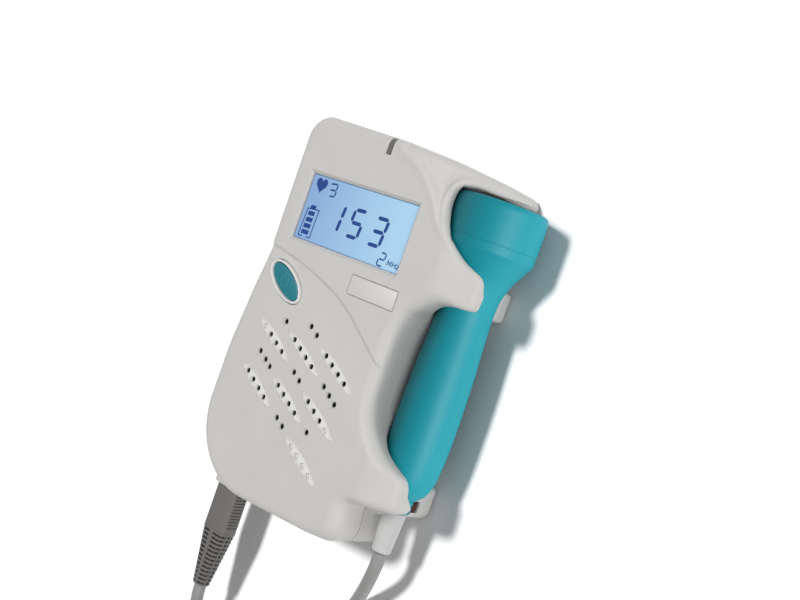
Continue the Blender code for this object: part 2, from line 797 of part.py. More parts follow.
def hole_centres():
    """Centres of the speaker's round holes, all on slanted lines of one pitch."""
    step = Vector((math.cos(HOLE_TURN), math.sin(HOLE_TURN))) * HOLE_PITCH
    first = Vector(place((FIRST_ROW_X_SHARE, FIRST_ROW_Y_SHARE)))
    made = []
    for column, row in leaf_places[:-1]:
        middle = first + Vector((column * ROW_PITCH_X, -row * ROW_PITCH_Y))
        made += [middle + step * (k - (leaf_holes - 1) / 2) for k in range(leaf_holes)]
    for column, row, right, up, count in loose_rows:
        offset = Vector((column * ROW_PITCH_X, -row * ROW_PITCH_Y))
        start = first + offset + Vector((right * HOLE_PITCH, up * ROW_PITCH_Y))
        made += [start + step * k for k in range(count)]
    return made


def speaker_cutter():
    """All the holes as one group of round pegs."""
    bm = bmesh.new()
    for centre in hole_centres():
        ring = []
        for z in (UNDERSIDE - OVERRUN, BODY_HEIGHT + OVERRUN):
            ring.append([])
            for k in range(HOLE_SIDES):
                a = 2 * math.pi * k / HOLE_SIDES
                x, y = centre.x + HOLE_RADIUS * math.cos(a), centre.y + HOLE_RADIUS * math.sin(a)
                ring[-1].append(bm.verts.new((x, y, z)))
        low, high = ring
        for i in range(HOLE_SIDES):
            j = (i + 1) % HOLE_SIDES
            bm.faces.new((low[i], low[j], high[j], high[i]))
        bm.faces.new(low)
        bm.faces.new(high)
    return add_object("speaker_cut", finish_mesh(bm, "speaker_cut"))


def build_rear_shell(skins):
    loop = rounded_loop(rear_outline_shares)
    data = rear_block(loop, 0, PARTING_HEIGHT, BACK_EDGE_RADIUS, "rear_shell")
    shell = add_object("rear_shell", data, skins["case"], True)
    data = prism(inset(loop, WALL), WALL, PARTING_HEIGHT + OVERRUN, "rear_hollow")
    hollow = add_object("rear_hollow", data)
    rims = (rear_pocket_shares, rear_scoop_shares)
    carve_shell(hollow, *side_cutters("rear_inner", *rims, WALL))
    carve_shell(shell, *side_cutters("rear", *rims, 0))
    carve_shell(shell, hollow)
    bosses = []
    for i, shares in enumerate(post_shares):
        data = rod(place(shares), TUBE_RADIUS, WALL / 2, PARTING_HEIGHT, "tube")
        bosses.append(add_object(f"tube_{i}", data))
    for i, shares in enumerate(lower_standoff_shares):
        top = LOWER_BOARD_HEIGHT - GAP
        data = rod(place(shares), STANDOFF_RADIUS, WALL / 2, top, "boss", sides=16)
        bosses.append(add_object(f"boss_{i}", data))
    fuse_shell(shell, *bosses)
    cuts = []
    for i, shares in enumerate(post_shares):
        spot = place(shares)
        data = rod(spot, SCREW_RADIUS + GAP, -OVERRUN, PARTING_HEIGHT + OVERRUN, "shank_hole")
        cuts.append(add_object(f"shank_hole_{i}", data))
        data = rod(spot, SCREW_HEAD_RADIUS + GAP, -OVERRUN, SCREW_SEAT_HEIGHT + GAP, "head_hole")
        cuts.append(add_object(f"head_hole_{i}", data))
    cuts.append(add_object("door_cut", door_box(GAP, -OVERRUN, "door_cut")))
    data = plug_section(COLLAR_WALL + 2 * GAP, *collar_span(GAP), "collar_cut")
    cuts.append(add_object("collar_cut", data))
    cuts.append(add_object("wheel_cut", wheel_slot(loop)))
    cuts.append(add_object("bumper_cut", bumper_box(GAP, "bumper_cut")))
    for name, x, radius in jack_places():
        low, high = edge_y(loop, x) - WALL - OVERRUN, edge_y(loop, x) + OVERRUN
        data = rod((x, 0, JACK_HEIGHT), radius + GAP, low, high, "jack_hole", "Y")
        cuts.append(add_object(name + "_hole", data))
    carve_shell(shell, *cuts)
    return loop


def bumper_box(extra, name):
    """The cushion under the tail: its top is just clear of the tail as the probe slides."""
    top = AXIS_Z - TAIL_RADIUS - GAP
    x, y = AXIS_X + BUMPER_OFFSET, HALF_LENGTH * BUMPER_Y_SHARE
    low = (x - BUMPER_SIZE / 2 - extra, y - BUMPER_LENGTH / 2 - extra, top - BUMPER_SIZE - extra)
    high = (x + BUMPER_SIZE / 2 + extra, y + BUMPER_LENGTH / 2 + extra, top + extra)
    return box_mesh(low, high, name)


def jack_places():
    return (
        ("audio_jack", AUDIO_X_SHARE * HALF_WIDTH, AUDIO_NOSE_RADIUS),
        ("charger_jack", POWER_X_SHARE * HALF_WIDTH, POWER_NOSE_RADIUS),
    )


def wheel_centre(loop):
    y = WHEEL_Y_SHARE * HALF_LENGTH
    return (edge_x(loop, y) - WHEEL_PROUD + WHEEL_RADIUS, y)


def wheel_slot(loop):
    x, y = wheel_centre(loop)
    half = WHEEL_THICKNESS / 2 + GAP
    low, high = WHEEL_HEIGHT - half, WHEEL_HEIGHT + half
    return rod((x, y), WHEEL_RADIUS + GAP, low, high, "wheel_slot")


def cell_span():
    low = BATTERY_END_SHARE * HALF_LENGTH
    return low, low + CELL_LENGTH


def tray_half(wall):
    """Half the tray's inner width, or its outer width where wall is its thickness."""
    return CELL_COUNT * CELL_RADIUS + (CELL_COUNT - 1) * GAP / 2 + GAP + wall


def tray_reach(wall):
    """How far the tray passes the cells' ends."""
    return 2 * GAP + CONTACT_THICKNESS + wall


def door_box(extra, low, name):
    x, half = BATTERY_X_SHARE * HALF_WIDTH, tray_half(0) + extra
    end = -HALF_LENGTH - OVERRUN if low < 0 else -HALF_LENGTH + DOOR_SET_BACK
    top = cell_span()[1] + tray_reach(0) + extra
    return box_mesh((x - half, end, low), (x + half, top, DOOR_THICKNESS + extra), name)


def plug_centre():
    return PLUG_X_SHARE * HALF_WIDTH, PLUG_HEIGHT


def rounded_section(half_width, half_height, corner, steps=3):
    made = []
    for quarter, (u, v) in enumerate(((1, 1), (-1, 1), (-1, -1), (1, -1))):
        for k in range(steps + 1):
            a = math.pi / 2 * (quarter + k / steps)
            made.append(
                (
                    u * (half_width - corner) + corner * math.cos(a),
                    v * (half_height - corner) + corner * math.sin(a),
                )
            )
    return made


def plug_section(extra, low, high, name):
    """A stretch of the plug's rounded section along Y, grown by extra."""
    x, z = plug_centre()
    half = (PLUG_WIDTH / 2 + extra, PLUG_THICKNESS / 2 + extra, PLUG_CORNER + extra)
    ring = rounded_section(*half)
    return loft([[(x + u, y, z + v) for u, v in ring] for y in (low, high)], name)


def collar_span(extra):
    front = PLUG_FRONT_SHARE * HALF_LENGTH
    return (front - COLLAR_LENGTH - (OVERRUN if extra else 0), front + GAP + extra)


def build_display(skins):
    x, y = SCREEN_X_SHARE * HALF_WIDTH, SCREEN_Y_SHARE * HALF_LENGTH
    half_x, half_y = SCREEN_WIDTH / 2 - GAP, SCREEN_HEIGHT / 2 - GAP
    flange_top = UNDERSIDE - GAP
    flange_low = WINDOW_LOW
    wide_x, wide_y = half_x + WINDOW_FLANGE, half_y + WINDOW_FLANGE
    rings = []
    for u, v, z in (
        (wide_x, wide_y, flange_low), (wide_x, wide_y, flange_top),
        (half_x, half_y, flange_top), (half_x, half_y, BODY_HEIGHT - SCREEN_RECESS),
    ):
        rings.append([(x - u, y - v, z), (x + u, y - v, z), (x + u, y + v, z), (x - u, y + v, z)])
    add_object("display_window", loft(rings, "display_window"), skins["clear"])
    top = flange_low - GAP
    low = GASKET_LOW
    gasket = add_object(
        "display_gasket",
        box_mesh((x - wide_x, y - wide_y, low), (x + wide_x, y + wide_y, top), "display_gasket"),
        skins["rubber"],
    )
    u, v = wide_x - GASKET_WIDTH, wide_y - GASKET_WIDTH
    hole = box_mesh((x - u, y - v, low - OVERRUN), (x + u, y + v, top + OVERRUN), "gasket_hole")
    carve(gasket, add_object("gasket_hole", hole))
    top = low - GAP
    low = LCD_LOW
    add_object(
        "lcd_panel",
        box_mesh((x - wide_x, y - wide_y, low), (x + wide_x, y + wide_y, top), "lcd_panel"),
        skins["screen"],
    )
    top = low - GAP
    low = BACKLIGHT_LOW
    add_object(
        "lcd_backlight",
        box_mesh((x - wide_x, y - wide_y, low), (x + wide_x, y + wide_y, top), "lcd_backlight"),
        skins["white"],
    )


# The button's dome: the share of its size at each share of its rise
button_dome_shares = ((1.0, 0.0), (0.94, 0.7), (0.7, 1.0))


def build_button(skins):
    centre = button_centre()
    length, width = ring_size(0)
    low, high = BODY_HEIGHT - RING_DEPTH, BODY_HEIGHT + RING_PROUD
    outer = ellipse(centre, length, width, BUTTON_TURN)
    ring = add_object("button_ring", prism(outer, low, high, "button_ring"), skins["trim"], True)
    loop = ellipse(centre, BUTTON_LENGTH + 2 * GAP, BUTTON_WIDTH + 2 * GAP, BUTTON_TURN)
    hole = add_object("ring_hole", prism(loop, low - OVERRUN, high + OVERRUN, "ring_hole"))
    carve(ring, hole)
    foot = BOARD_HEIGHT + BOARD_THICKNESS + GAP
    switch_top = UNDERSIDE - SWITCH_SIZE
    half = SWITCH_SIZE / 2
    data = box_mesh(
        (centre[0] - half, centre[1] - half, foot), (centre[0] + half, centre[1] + half, switch_top),
        "tact_switch",
    )
    add_object("tact_switch", data, skins["black"])
    levels = [(1.0, switch_top + GAP + BUTTON_TRAVEL)]
    levels += [(share, BODY_HEIGHT + BUTTON_PROUD * rise) for share, rise in button_dome_shares]
    rings = []
    for share, z in levels:
        loop = ellipse(centre, BUTTON_LENGTH * share, BUTTON_WIDTH * share, BUTTON_TURN)
        rings.append([(u, v, z) for u, v in loop])
    add_object("power_button", loft(rings, "power_button"), skins["teal"], True)


def build_face_trim(skins, loop):
    low = BODY_HEIGHT - PLATE_SINK
    data = plate_box(0, low, low + PLATE_THICKNESS, "name_plate")
    add_object("name_plate", data, skins["trim"])
    block = front_block(loop, 0, PARTING_HEIGHT, EDGE_RADIUS, "indicator_lens")
    lens = add_object("indicator_lens", block, skins["grey_clear"])
    keep = add_object("indicator_keep", indicator_box(loop, 0, "indicator_keep"))
    modify(lens, keep, "INTERSECT", SHELL_SOLVER)


def build_speaker(skins):
    spot = (SPEAKER_X_SHARE * HALF_WIDTH, SPEAKER_Y_SHARE * HALF_LENGTH)
    top = UNDERSIDE - GAP
    rim = top - SPEAKER_RIM
    foot = top - SPEAKER_DEPTH_SHARE * SPEAKER_ROOM
    skin = SPEAKER_SKIN
    neck = MAGNET_RADIUS - skin
    profile = (
        (SPEAKER_RADIUS, top), (SPEAKER_RADIUS, rim), (neck + skin, foot), (skin, foot),
        (skin, foot + skin), (neck, foot + skin), (SPEAKER_RADIUS - SPEAKER_RIM, rim + skin),
        (SPEAKER_RADIUS - SPEAKER_RIM, top),
    )
    data = turned(profile, spot, "speaker_frame", "Z", 28)
    add_object("speaker_frame", data, skins["steel"], True)
    edge = SPEAKER_RADIUS - SPEAKER_RIM - GAP
    dust = MAGNET_RADIUS / 2
    profile = (
        (0, foot + 4 * skin), (dust, foot + 3 * skin), (edge, top - skin), (edge, top - skin / 2),
        (dust, foot + 4 * skin), (0, foot + 5 * skin),
    )
    add_object("speaker_cone", turned(profile, spot, "speaker_cone", "Z", 28), skins["black"], True)
    low = foot - GAP - MAGNET_DEPTH_SHARE * SPEAKER_ROOM
    data = rod(spot, MAGNET_RADIUS, low, foot - GAP, "speaker_magnet")
    add_object("speaker_magnet", data, skins["steel"], True)


def board_mesh(centre, width, length, low, thickness, name):
    x, y = centre
    return box_mesh(
        (x - width / 2, y - length / 2, low), (x + width / 2, y + length / 2, low + thickness), name
    )


def build_boards(skins):
    low = BOARD_LOW_SHARE * HALF_LENGTH
    length = place(post_shares[1])[1] - TUBE_RADIUS - BOARD_CLEARANCE - low
    centre = (BOARD_X_SHARE * HALF_WIDTH, low + length / 2)
    data = board_mesh(centre, BOARD_WIDTH, length, BOARD_HEIGHT, BOARD_THICKNESS, "main_board")
    add_object("main_board", data, skins["board"])
    high = BOARD_HEIGHT - GAP
    for name, (u, v) in (("main_chip", main_chip_share), ("sound_chip", sound_chip_share)):
        spot = (centre[0] + u * BOARD_WIDTH, centre[1] + v * length)
        data = board_mesh(spot, CHIP_SIZE, CHIP_SIZE, high - CHIP_HEIGHT, CHIP_HEIGHT, name)
        add_object(name, data, skins["black"])
    centre = place((LOWER_BOARD_X_SHARE, LOWER_BOARD_Y_SHARE))
    size = (LOWER_BOARD_WIDTH, LOWER_BOARD_LENGTH, LOWER_BOARD_HEIGHT, BOARD_THICKNESS)
    add_object("doppler_board", board_mesh(centre, *size, "doppler_board"), skins["board"])
    low = LOWER_BOARD_HEIGHT + BOARD_THICKNESS + GAP
    data = board_mesh(centre, CHIP_SIZE, CHIP_SIZE, low, CHIP_HEIGHT, "doppler_chip")
    add_object("doppler_chip", data, skins["black"])


def build_batteries(skins):
    middle = BATTERY_X_SHARE * HALF_WIDTH
    low, high = cell_span()
    z = DOOR_THICKNESS + 2 * GAP + CELL_RADIUS
    pitch = 2 * CELL_RADIUS + GAP
    for i in range(CELL_COUNT):
        x = middle + (i - (CELL_COUNT - 1) / 2) * pitch
        nub = high - CELL_NUB_LENGTH
        profile = ((0, low), (CELL_RADIUS, low), (CELL_RADIUS, nub), (CELL_NUB_RADIUS, nub),
                   (CELL_NUB_RADIUS, high), (0, high))
        data = turned(profile, (x, 0, z), f"battery_cell_{i + 1}", "Y", 20)
        add_object(f"battery_cell_{i + 1}", data, skins["cell"], True)
    half = pitch + CONTACT_SIZE / 2
    below = low - GAP - CONTACT_THICKNESS
    for name, y in (("contact_strip_low", below), ("contact_strip_high", high + GAP)):
        data = box_mesh(
            (middle - half, y, z - CONTACT_SIZE / 2),
            (middle + half, y + CONTACT_THICKNESS, z + CONTACT_SIZE / 2),
            name,
        )
        add_object(name, data, skins["nickel"])
    top = TRAY_TOP - TRAY_WALL
    floor = WALL + GAP
    outer, reach = tray_half(TRAY_WALL), tray_reach(TRAY_WALL)
    data = box_mesh(
        (middle - outer, low - reach, floor), (middle + outer, high + reach, TRAY_TOP),
        "battery_tray",
    )
    tray = add_object("battery_tray", data, skins["dark"])
    inner, reach = tray_half(0), tray_reach(0)
    data = box_mesh(
        (middle - inner, low - reach, floor - OVERRUN), (middle + inner, high + reach, top), "room"
    )
    carve(tray, add_object("tray_room", data))
    add_object("battery_door", door_box(0, 0, "battery_door"), skins["case"])


def build_screws(skins):
    for i, shares in enumerate(post_shares):
        head, tip = SCREW_SEAT_HEIGHT, SCREW_TIP_HEIGHT
        low = head - SCREW_HEAD_HEIGHT
        profile = ((0, low), (SCREW_HEAD_RADIUS, low), (SCREW_HEAD_RADIUS, head),
                   (SCREW_RADIUS, head), (SCREW_RADIUS, tip), (0, tip))
        data = turned(profile, place(shares), f"case_screw_{i + 1}", "Z", 16)
        add_object(f"case_screw_{i + 1}", data, skins["nickel"], True)


def build_volume_wheel(skins, loop):
    x, y = wheel_centre(loop)
    half = WHEEL_THICKNESS / 2
    bore = WHEEL_HUB_RADIUS + GAP
    low, high = WHEEL_HEIGHT - half, WHEEL_HEIGHT + half
    profile = ((bore, low), (WHEEL_RADIUS, low), (WHEEL_RADIUS, high), (bore, high))
    data = turned(profile, (x, y), "volume_wheel", "Z", 36)
    add_object("volume_wheel", data, skins["dark"], True)
    body = low - GAP
    profile = ((0, WALL + GAP), (POT_SIZE / 2, WALL + GAP), (POT_SIZE / 2, body),
               (WHEEL_HUB_RADIUS, body), (WHEEL_HUB_RADIUS, high), (0, high))
    data = turned(profile, (x, y), "volume_control", "Z", 20)
    add_object("volume_control", data, skins["black"], True)


def build_jacks(skins, loop):
    bores = {
        "audio_jack": (AUDIO_BORE_RADIUS, 0.0),
        "charger_jack": (POWER_BORE_RADIUS, POWER_PIN_RADIUS),
    }
    for name, x, radius in jack_places():
        bore, pin = bores[name]
        mouth = min(edge_y(loop, x - radius), edge_y(loop, x + radius)) - GAP
        wall = mouth - WALL - JACK_SEAT_SHARE * radius - GAP
        back = mouth - JACK_LENGTH
        end = back + JACK_BODY_EXTRA
        body = radius + JACK_BODY_EXTRA
        profile = [(0, back), (body, back), (body, wall), (radius, wall), (radius, mouth),
                   (bore, mouth), (bore, end)]
        profile += [(pin, end), (pin, mouth - WALL), (0, mouth - WALL)] if pin else [(0, end)]
        data = turned(profile, (x, 0, JACK_HEIGHT), name, "Y", 20)
        add_object(name, data, skins["black"], True)


def build_socket_and_plug(skins):
    x, z = plug_centre()
    front = PLUG_FRONT_SHARE * HALF_LENGTH
    data = plug_section(COLLAR_WALL + GAP, *collar_span(0), "socket_collar")
    collar = add_object("socket_collar", data, skins["trim"])
    low, high = collar_span(0)
    hole = plug_section(GAP, low - OVERRUN, high + OVERRUN, "collar_hole")
    carve(collar, add_object("collar_hole", hole))
    mouth = front + 2 * GAP
    bore = BARREL_RADIUS + GAP
    end = mouth + SOCKET_LENGTH
    floor = front + BARREL_LENGTH + GAP
    profile = ((0, end), (SOCKET_RADIUS, end), (SOCKET_RADIUS, mouth), (bore, mouth),
               (bore, floor), (0, floor))
    data = turned(profile, (x, 0, z), "plug_socket", "Y", 24)
    add_object("plug_socket", data, skins["nickel"], True)
    data = plug_section(0, front - GRIP_LENGTH, front, "plug_grip")
    add_object("plug_grip", data, skins["plug"], True)
    start = front - GRIP_LENGTH - GAP
    half = (PLUG_WIDTH / 2, PLUG_THICKNESS / 2, PLUG_CORNER)
    tip = (RELIEF_TIP_RADIUS, RELIEF_TIP_RADIUS, RELIEF_TIP_RADIUS * RELIEF_CORNER_SHARE)
    rings = []
    for k in range(RELIEF_STEPS + 1):
        t = k / RELIEF_STEPS
        size = [a + (b - a) * t for a, b in zip(half, tip)]
        y = start - RELIEF_LENGTH * t
        rings.append([(x + u, y, z + v) for u, v in rounded_section(*size)])
    add_object("plug_relief", loft(rings, "plug_relief"), skins["plug"], True)
    inner = BARREL_RADIUS - BARREL_WALL
    low = front + GAP
    profile = ((inner, low), (BARREL_RADIUS, low), (BARREL_RADIUS, front + BARREL_LENGTH),
               (inner, front + BARREL_LENGTH))
    data = turned(profile, (x, 0, z), "plug_barrel", "Y", 24)
    add_object("plug_barrel", data, skins["nickel"], True)
    end = front + BARREL_LENGTH / 3
    data = rod((x, 0, z), inner - GAP, low, end, "plug_insert", "Y", 20)
    insert = add_object("plug_insert", data, skins["brass"], True)
    for k in range(PIN_COUNT):
        a = 2 * math.pi * k / PIN_COUNT
        spot = (x + PIN_CIRCLE * math.cos(a), 0, z + PIN_CIRCLE * math.sin(a))
        data = rod(spot, PIN_RADIUS, end - GAP, front + PIN_LENGTH, f"pin_{k}", "Y", 8)
        fuse(insert, add_object(f"pin_{k}", data))


def build_probe(skins):
    centre = (AXIS_X, 0, AXIS_Z)
    seam = SEAM_SHARE * HALF_LENGTH
    outer = probe_profile()
    head_end = outer[0][1]
    inner = HEAD_RADIUS - PROBE_WALL
    profile = [(inner, seam + GAP)] + [(r, y) for r, y in outer if y > seam + GAP][::-1]
    profile.insert(1, (HEAD_RADIUS, seam + GAP))
    profile.append((inner, head_end))
    add_object("probe_head_cap", turned(profile, centre, "probe_head_cap"), skins["teal"], True)
    radius = inner - GAP
    low = head_end - FACE_THICKNESS
    profile = ((0, low), (radius, low), (radius, head_end - FACE_DOME),
               (radius / 2, head_end - FACE_DOME / 4), (0, head_end))
    add_object("probe_face", turned(profile, centre, "probe_face"), skins["face"], True)
    build_crystals(skins, centre, low - GAP)
    high = low - GAP - CRYSTAL_THICKNESS - GAP
    data = rod(centre, radius, high - BACKING_THICKNESS, high, "probe_backing", "Y", 28)
    add_object("probe_backing", data, skins["black"], True)
    body = [(HEAD_RADIUS, seam)] + [(r, y) for r, y in outer if y < seam]
    bore = SPIGOT_RADIUS + GAP
    end = body[-1][1]
    wall = [(r - PROBE_WALL, y) for r, y in body if y > end + PROBE_WALL and r - PROBE_WALL > bore]
    profile = body + [(bore, end), (bore, end + PROBE_WALL)] + wall[::-1]
    add_object("probe_handle", turned(profile, centre, "probe_handle"), skins["teal"], True)
    top = end - GAP
    low = top - TAIL_LENGTH
    profile = ((bore, top), (bore, low), (TAIL_RADIUS, low), (TAIL_RADIUS, top))
    add_object("probe_tail", turned(profile, centre, "probe_tail", "Y", 24), skins["teal"], True)
    shoulder = low - GAP
    tip = shoulder - BOOT_LENGTH
    profile = ((0, tip), (BOOT_TIP_RADIUS, tip), (BOOT_RADIUS, shoulder),
               (SPIGOT_RADIUS, shoulder), (SPIGOT_RADIUS, end + PROBE_WALL), (0, end + PROBE_WALL))
    add_object("probe_boot", turned(profile, centre, "probe_boot", "Y", 24), skins["boot"], True)
    room = NECK_RADIUS - PROBE_WALL - GAP
    width = math.sqrt(room**2 - (PROBE_BOARD_THICKNESS / 2) ** 2)
    half = (width, PROBE_BOARD_LENGTH / 2, PROBE_BOARD_THICKNESS / 2)
    data = box_mesh(
        (AXIS_X - half[0], -half[1] - HANDLE_RADIUS / 2, AXIS_Z - half[2]),
        (AXIS_X + half[0], half[1] - HANDLE_RADIUS / 2, AXIS_Z + half[2]),
        "probe_board",
    )
    add_object("probe_board", data, skins["board"])


def build_crystals(skins, centre, top):
    """Two half discs, one that sends and one that listens, with a gap between them."""
    for name, side in (("crystal_sender", 1), ("crystal_receiver", -1)):
        loop = []
        for k in range(HALF_TURN_STEPS + 1):
            a = math.pi * (k / HALF_TURN_STEPS - 0.5)
            loop.append((CRYSTAL_RADIUS * math.cos(a), CRYSTAL_RADIUS * math.sin(a)))
        rings = []
        for y in (top - CRYSTAL_THICKNESS, top):
            rings.append(
                [(centre[0] + side * (u + 2 * GAP), y, centre[2] + v) for u, v in loop]
            )
        add_object(name, loft(rings, name), skins["ceramic"])


def tube(name, points, skin, resolution):
    """A round cord along the points, with closed ends."""
    data = bpy.data.curves.new(name, "CURVE")
    data.dimensions = "3D"
    data.bevel_depth = CORD_DIAMETER / 2
    data.bevel_resolution = resolution
    data.use_fill_caps = True
    line = data.splines.new("POLY")
    line.points.add(len(points) - 1)
    for point, spot in zip(line.points, points):
        point.co = (*spot, 1)
    data.materials.append(skin)
    obj = bpy.data.objects.new(name, data)
    bpy.context.scene.collection.objects.link(obj)


def coil_point(turns):
    """A point of the coil: it spirals in to its middle turn, then out again a layer higher."""
    angle = math.pi + 2 * math.pi * turns
    middle = COIL_TURNS / 2
    radius = COIL_OUTER_RADIUS - COIL_PITCH * (middle - abs(turns - middle))
    climb = smoothstep((turns - middle) * 2 + 0.5)
    return (
        COIL_CENTRE_X + radius * math.cos(angle),
        COIL_CENTRE_Y + radius * math.sin(angle),
        TIE_THICKNESS + GAP + CORD_DIAMETER / 2 + COIL_RISE * climb,
    )


def coil_points():
    count = round(COIL_TURNS * COIL_POINTS_PER_TURN)
    made = [coil_point(COIL_TURNS * k / count) for k in range(count + 1)]
    first, last = made[0], made[-1]
    made.insert(0, (first[0], first[1] + CORD_DIAMETER, first[2]))
    made.append((last[0], last[1] + CORD_DIAMETER, last[2]))
    return made


def least_self_gap(points):
    """The smallest clear distance between turns that pass each other."""
    apart = COIL_POINTS_PER_TURN // 2
    least = OVERALL_WIDTH
    for i, a in enumerate(points):
        for b in points[i + apart:]:
            least = min(least, math.dist(a, b))
    return least - CORD_DIAMETER


def build_cord(skins):
    coil = coil_points()
    tube("cord_coil", coil, skins["cord"], 1)
    print("least gap of the coil to itself, in mm:", round(least_self_gap(coil) * 1000, 3))
    for name, points in (("cord_probe_run", probe_run_points), ("cord_plug_run", plug_run_points)):
        tube(name, points, skins["cord"], 2)
    inner = COIL_OUTER_RADIUS - COIL_PITCH * COIL_TURNS / 2 - CORD_DIAMETER / 2 - GAP
    outer = COIL_OUTER_RADIUS + CORD_DIAMETER / 2 + GAP
    top = TIE_THICKNESS + 2 * GAP + CORD_DIAMETER + COIL_RISE
    out = Vector((math.cos(TIE_ANGLE), math.sin(TIE_ANGLE), 0))
    side = Vector((-out.y, out.x, 0)) * TIE_WIDTH / 2
    centre = Vector((COIL_CENTRE_X, COIL_CENTRE_Y, 0))
    blocks = {}
    sizes = (("cord_tie", TIE_THICKNESS, 1, 0), ("tie_room", 0, 2, TIE_THICKNESS))
    for name, grow, spread, low in sizes:
        near, far = out * (inner - grow), out * (outer + grow)
        foot, head = Vector((0, 0, low)), Vector((0, 0, top + grow))
        rings = []
        for sign in (-spread, spread):
            across = centre + side * sign
            rings.append(
                [across + near + foot, across + far + foot, across + far + head, across + near + head]
            )
        blocks[name] = loft(rings, name)
    tie = add_object("cord_tie", blocks["cord_tie"], skins["black"])
    carve(tie, add_object("tie_room", blocks["tie_room"]))


def build():
    clear_scene()
    skins = {
        "case": material("case_plastic", (0.55, 0.54, 0.52), 0.5),
        "trim": material("trim_plastic", (0.68, 0.67, 0.65), 0.42),
        "teal": material("teal_plastic", (0.02, 0.28, 0.33), 0.3),
        "face": material("probe_face_resin", (0.5, 0.53, 0.52), 0.35),
        "clear": material("clear_plastic", (0.75, 0.87, 0.95), 0.08, 0.0, 0.35),
        "grey_clear": material("grey_lens", (0.12, 0.12, 0.12), 0.25),
        "screen": material("lcd_glass", (0.33, 0.6, 0.86), 0.3),
        "white": material("white_diffuser", (0.8, 0.82, 0.84), 0.5),
        "black": material("black_plastic", (0.02, 0.02, 0.02), 0.5),
        "dark": material("dark_plastic", (0.08, 0.08, 0.08), 0.5),
        "rubber": material("soft_rubber", (0.03, 0.03, 0.03), 0.8),
        "maroon": material("maroon_rubber", (0.06, 0.012, 0.014), 0.7),
        "board": material("circuit_board", (0.02, 0.16, 0.06), 0.45),
        "steel": material("plated_steel", (0.55, 0.55, 0.55), 0.35, 1.0),
        "nickel": material("nickel", (0.65, 0.63, 0.6), 0.3, 1.0),
        "brass": material("gold_plate", (0.8, 0.62, 0.25), 0.3, 1.0),
        "ceramic": material("ceramic", (0.72, 0.68, 0.6), 0.5),
        "cell": material("cell_sleeve", (0.03, 0.12, 0.3), 0.4),
        "plug": material("plug_rubber", (0.16, 0.155, 0.15), 0.55),
        "boot": material("boot_rubber", (0.5, 0.5, 0.49), 0.5),
        "cord": material("cord_jacket", (0.3, 0.3, 0.29), 0.5),
    }
    front_loop = build_front_shell(skins)
    rear_loop = build_rear_shell(skins)
    build_display(skins)
    build_button(skins)
    build_face_trim(skins, front_loop)
    build_speaker(skins)
    build_boards(skins)
    build_batteries(skins)
    build_screws(skins)
    build_volume_wheel(skins, rear_loop)
    build_jacks(skins, rear_loop)
    build_socket_and_plug(skins)
    add_object("dock_bumper", bumper_box(0, "dock_bumper"), skins["maroon"])
    build_probe(skins)
    build_cord(skins)


build()
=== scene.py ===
"""Looks of the fetal doppler monitor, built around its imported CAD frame."""

import json
import math
from itertools import product

import bmesh
import bpy
import numpy as np
from mathutils import Matrix, Vector

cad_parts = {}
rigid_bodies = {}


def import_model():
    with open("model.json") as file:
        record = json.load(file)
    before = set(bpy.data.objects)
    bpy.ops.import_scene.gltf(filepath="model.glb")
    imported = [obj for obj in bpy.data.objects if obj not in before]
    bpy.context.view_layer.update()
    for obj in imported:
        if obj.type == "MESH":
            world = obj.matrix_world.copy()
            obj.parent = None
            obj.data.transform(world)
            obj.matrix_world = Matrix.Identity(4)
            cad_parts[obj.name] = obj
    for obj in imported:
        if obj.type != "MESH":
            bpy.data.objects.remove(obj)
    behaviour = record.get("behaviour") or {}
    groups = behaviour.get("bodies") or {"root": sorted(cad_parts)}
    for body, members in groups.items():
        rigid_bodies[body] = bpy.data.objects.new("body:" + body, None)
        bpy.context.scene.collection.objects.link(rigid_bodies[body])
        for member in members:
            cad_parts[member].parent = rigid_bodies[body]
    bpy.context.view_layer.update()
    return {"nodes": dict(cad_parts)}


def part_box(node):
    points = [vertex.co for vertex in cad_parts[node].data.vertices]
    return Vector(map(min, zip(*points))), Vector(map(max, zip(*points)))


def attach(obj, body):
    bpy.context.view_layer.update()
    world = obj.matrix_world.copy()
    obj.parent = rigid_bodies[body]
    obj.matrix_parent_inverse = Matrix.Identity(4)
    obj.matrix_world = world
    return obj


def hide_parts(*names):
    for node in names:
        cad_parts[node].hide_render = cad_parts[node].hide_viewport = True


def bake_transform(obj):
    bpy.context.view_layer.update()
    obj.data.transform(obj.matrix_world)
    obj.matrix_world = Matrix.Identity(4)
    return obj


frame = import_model()
nodes = frame["nodes"]

# Lengths below are in millimetres; MM turns them into the frame's metres
MM = 0.001
HALF_WIDTH = 51.0
HALF_LENGTH = 70.0
FACE = 35.0
PARTING = 22.5
PARTING_GAP = 0.3
GAP = 0.3
WALL = 2.0
OVERRUN = 5.0
AXIS_X = 35.0
AXIS_Z = 17.0
DOCK_CLEARANCE = 0.6
HEAD_RADIUS = 16.0
NECK_RADIUS = 9.2
HANDLE_RADIUS = 10.5
BOOT_RADIUS = 4.2
BOOT_TIP_RADIUS = 3.3
# Edges sharper than this are shown sharp: most pieces, flat marks and the round button
SHARP_ANGLE = math.radians(33)
MARK_ANGLE = math.radians(20)
ROUND_ANGLE = math.radians(60)

# The camera stands where the photograph was taken from
CAMERA_PLACE = (0.24969, 0.03379, 0.30932)
CAMERA_YAW = math.radians(39.78)
CAMERA_PITCH = math.radians(2.68)
CAMERA_ROLL = math.radians(19.44)
CAMERA_LENS = 49.03


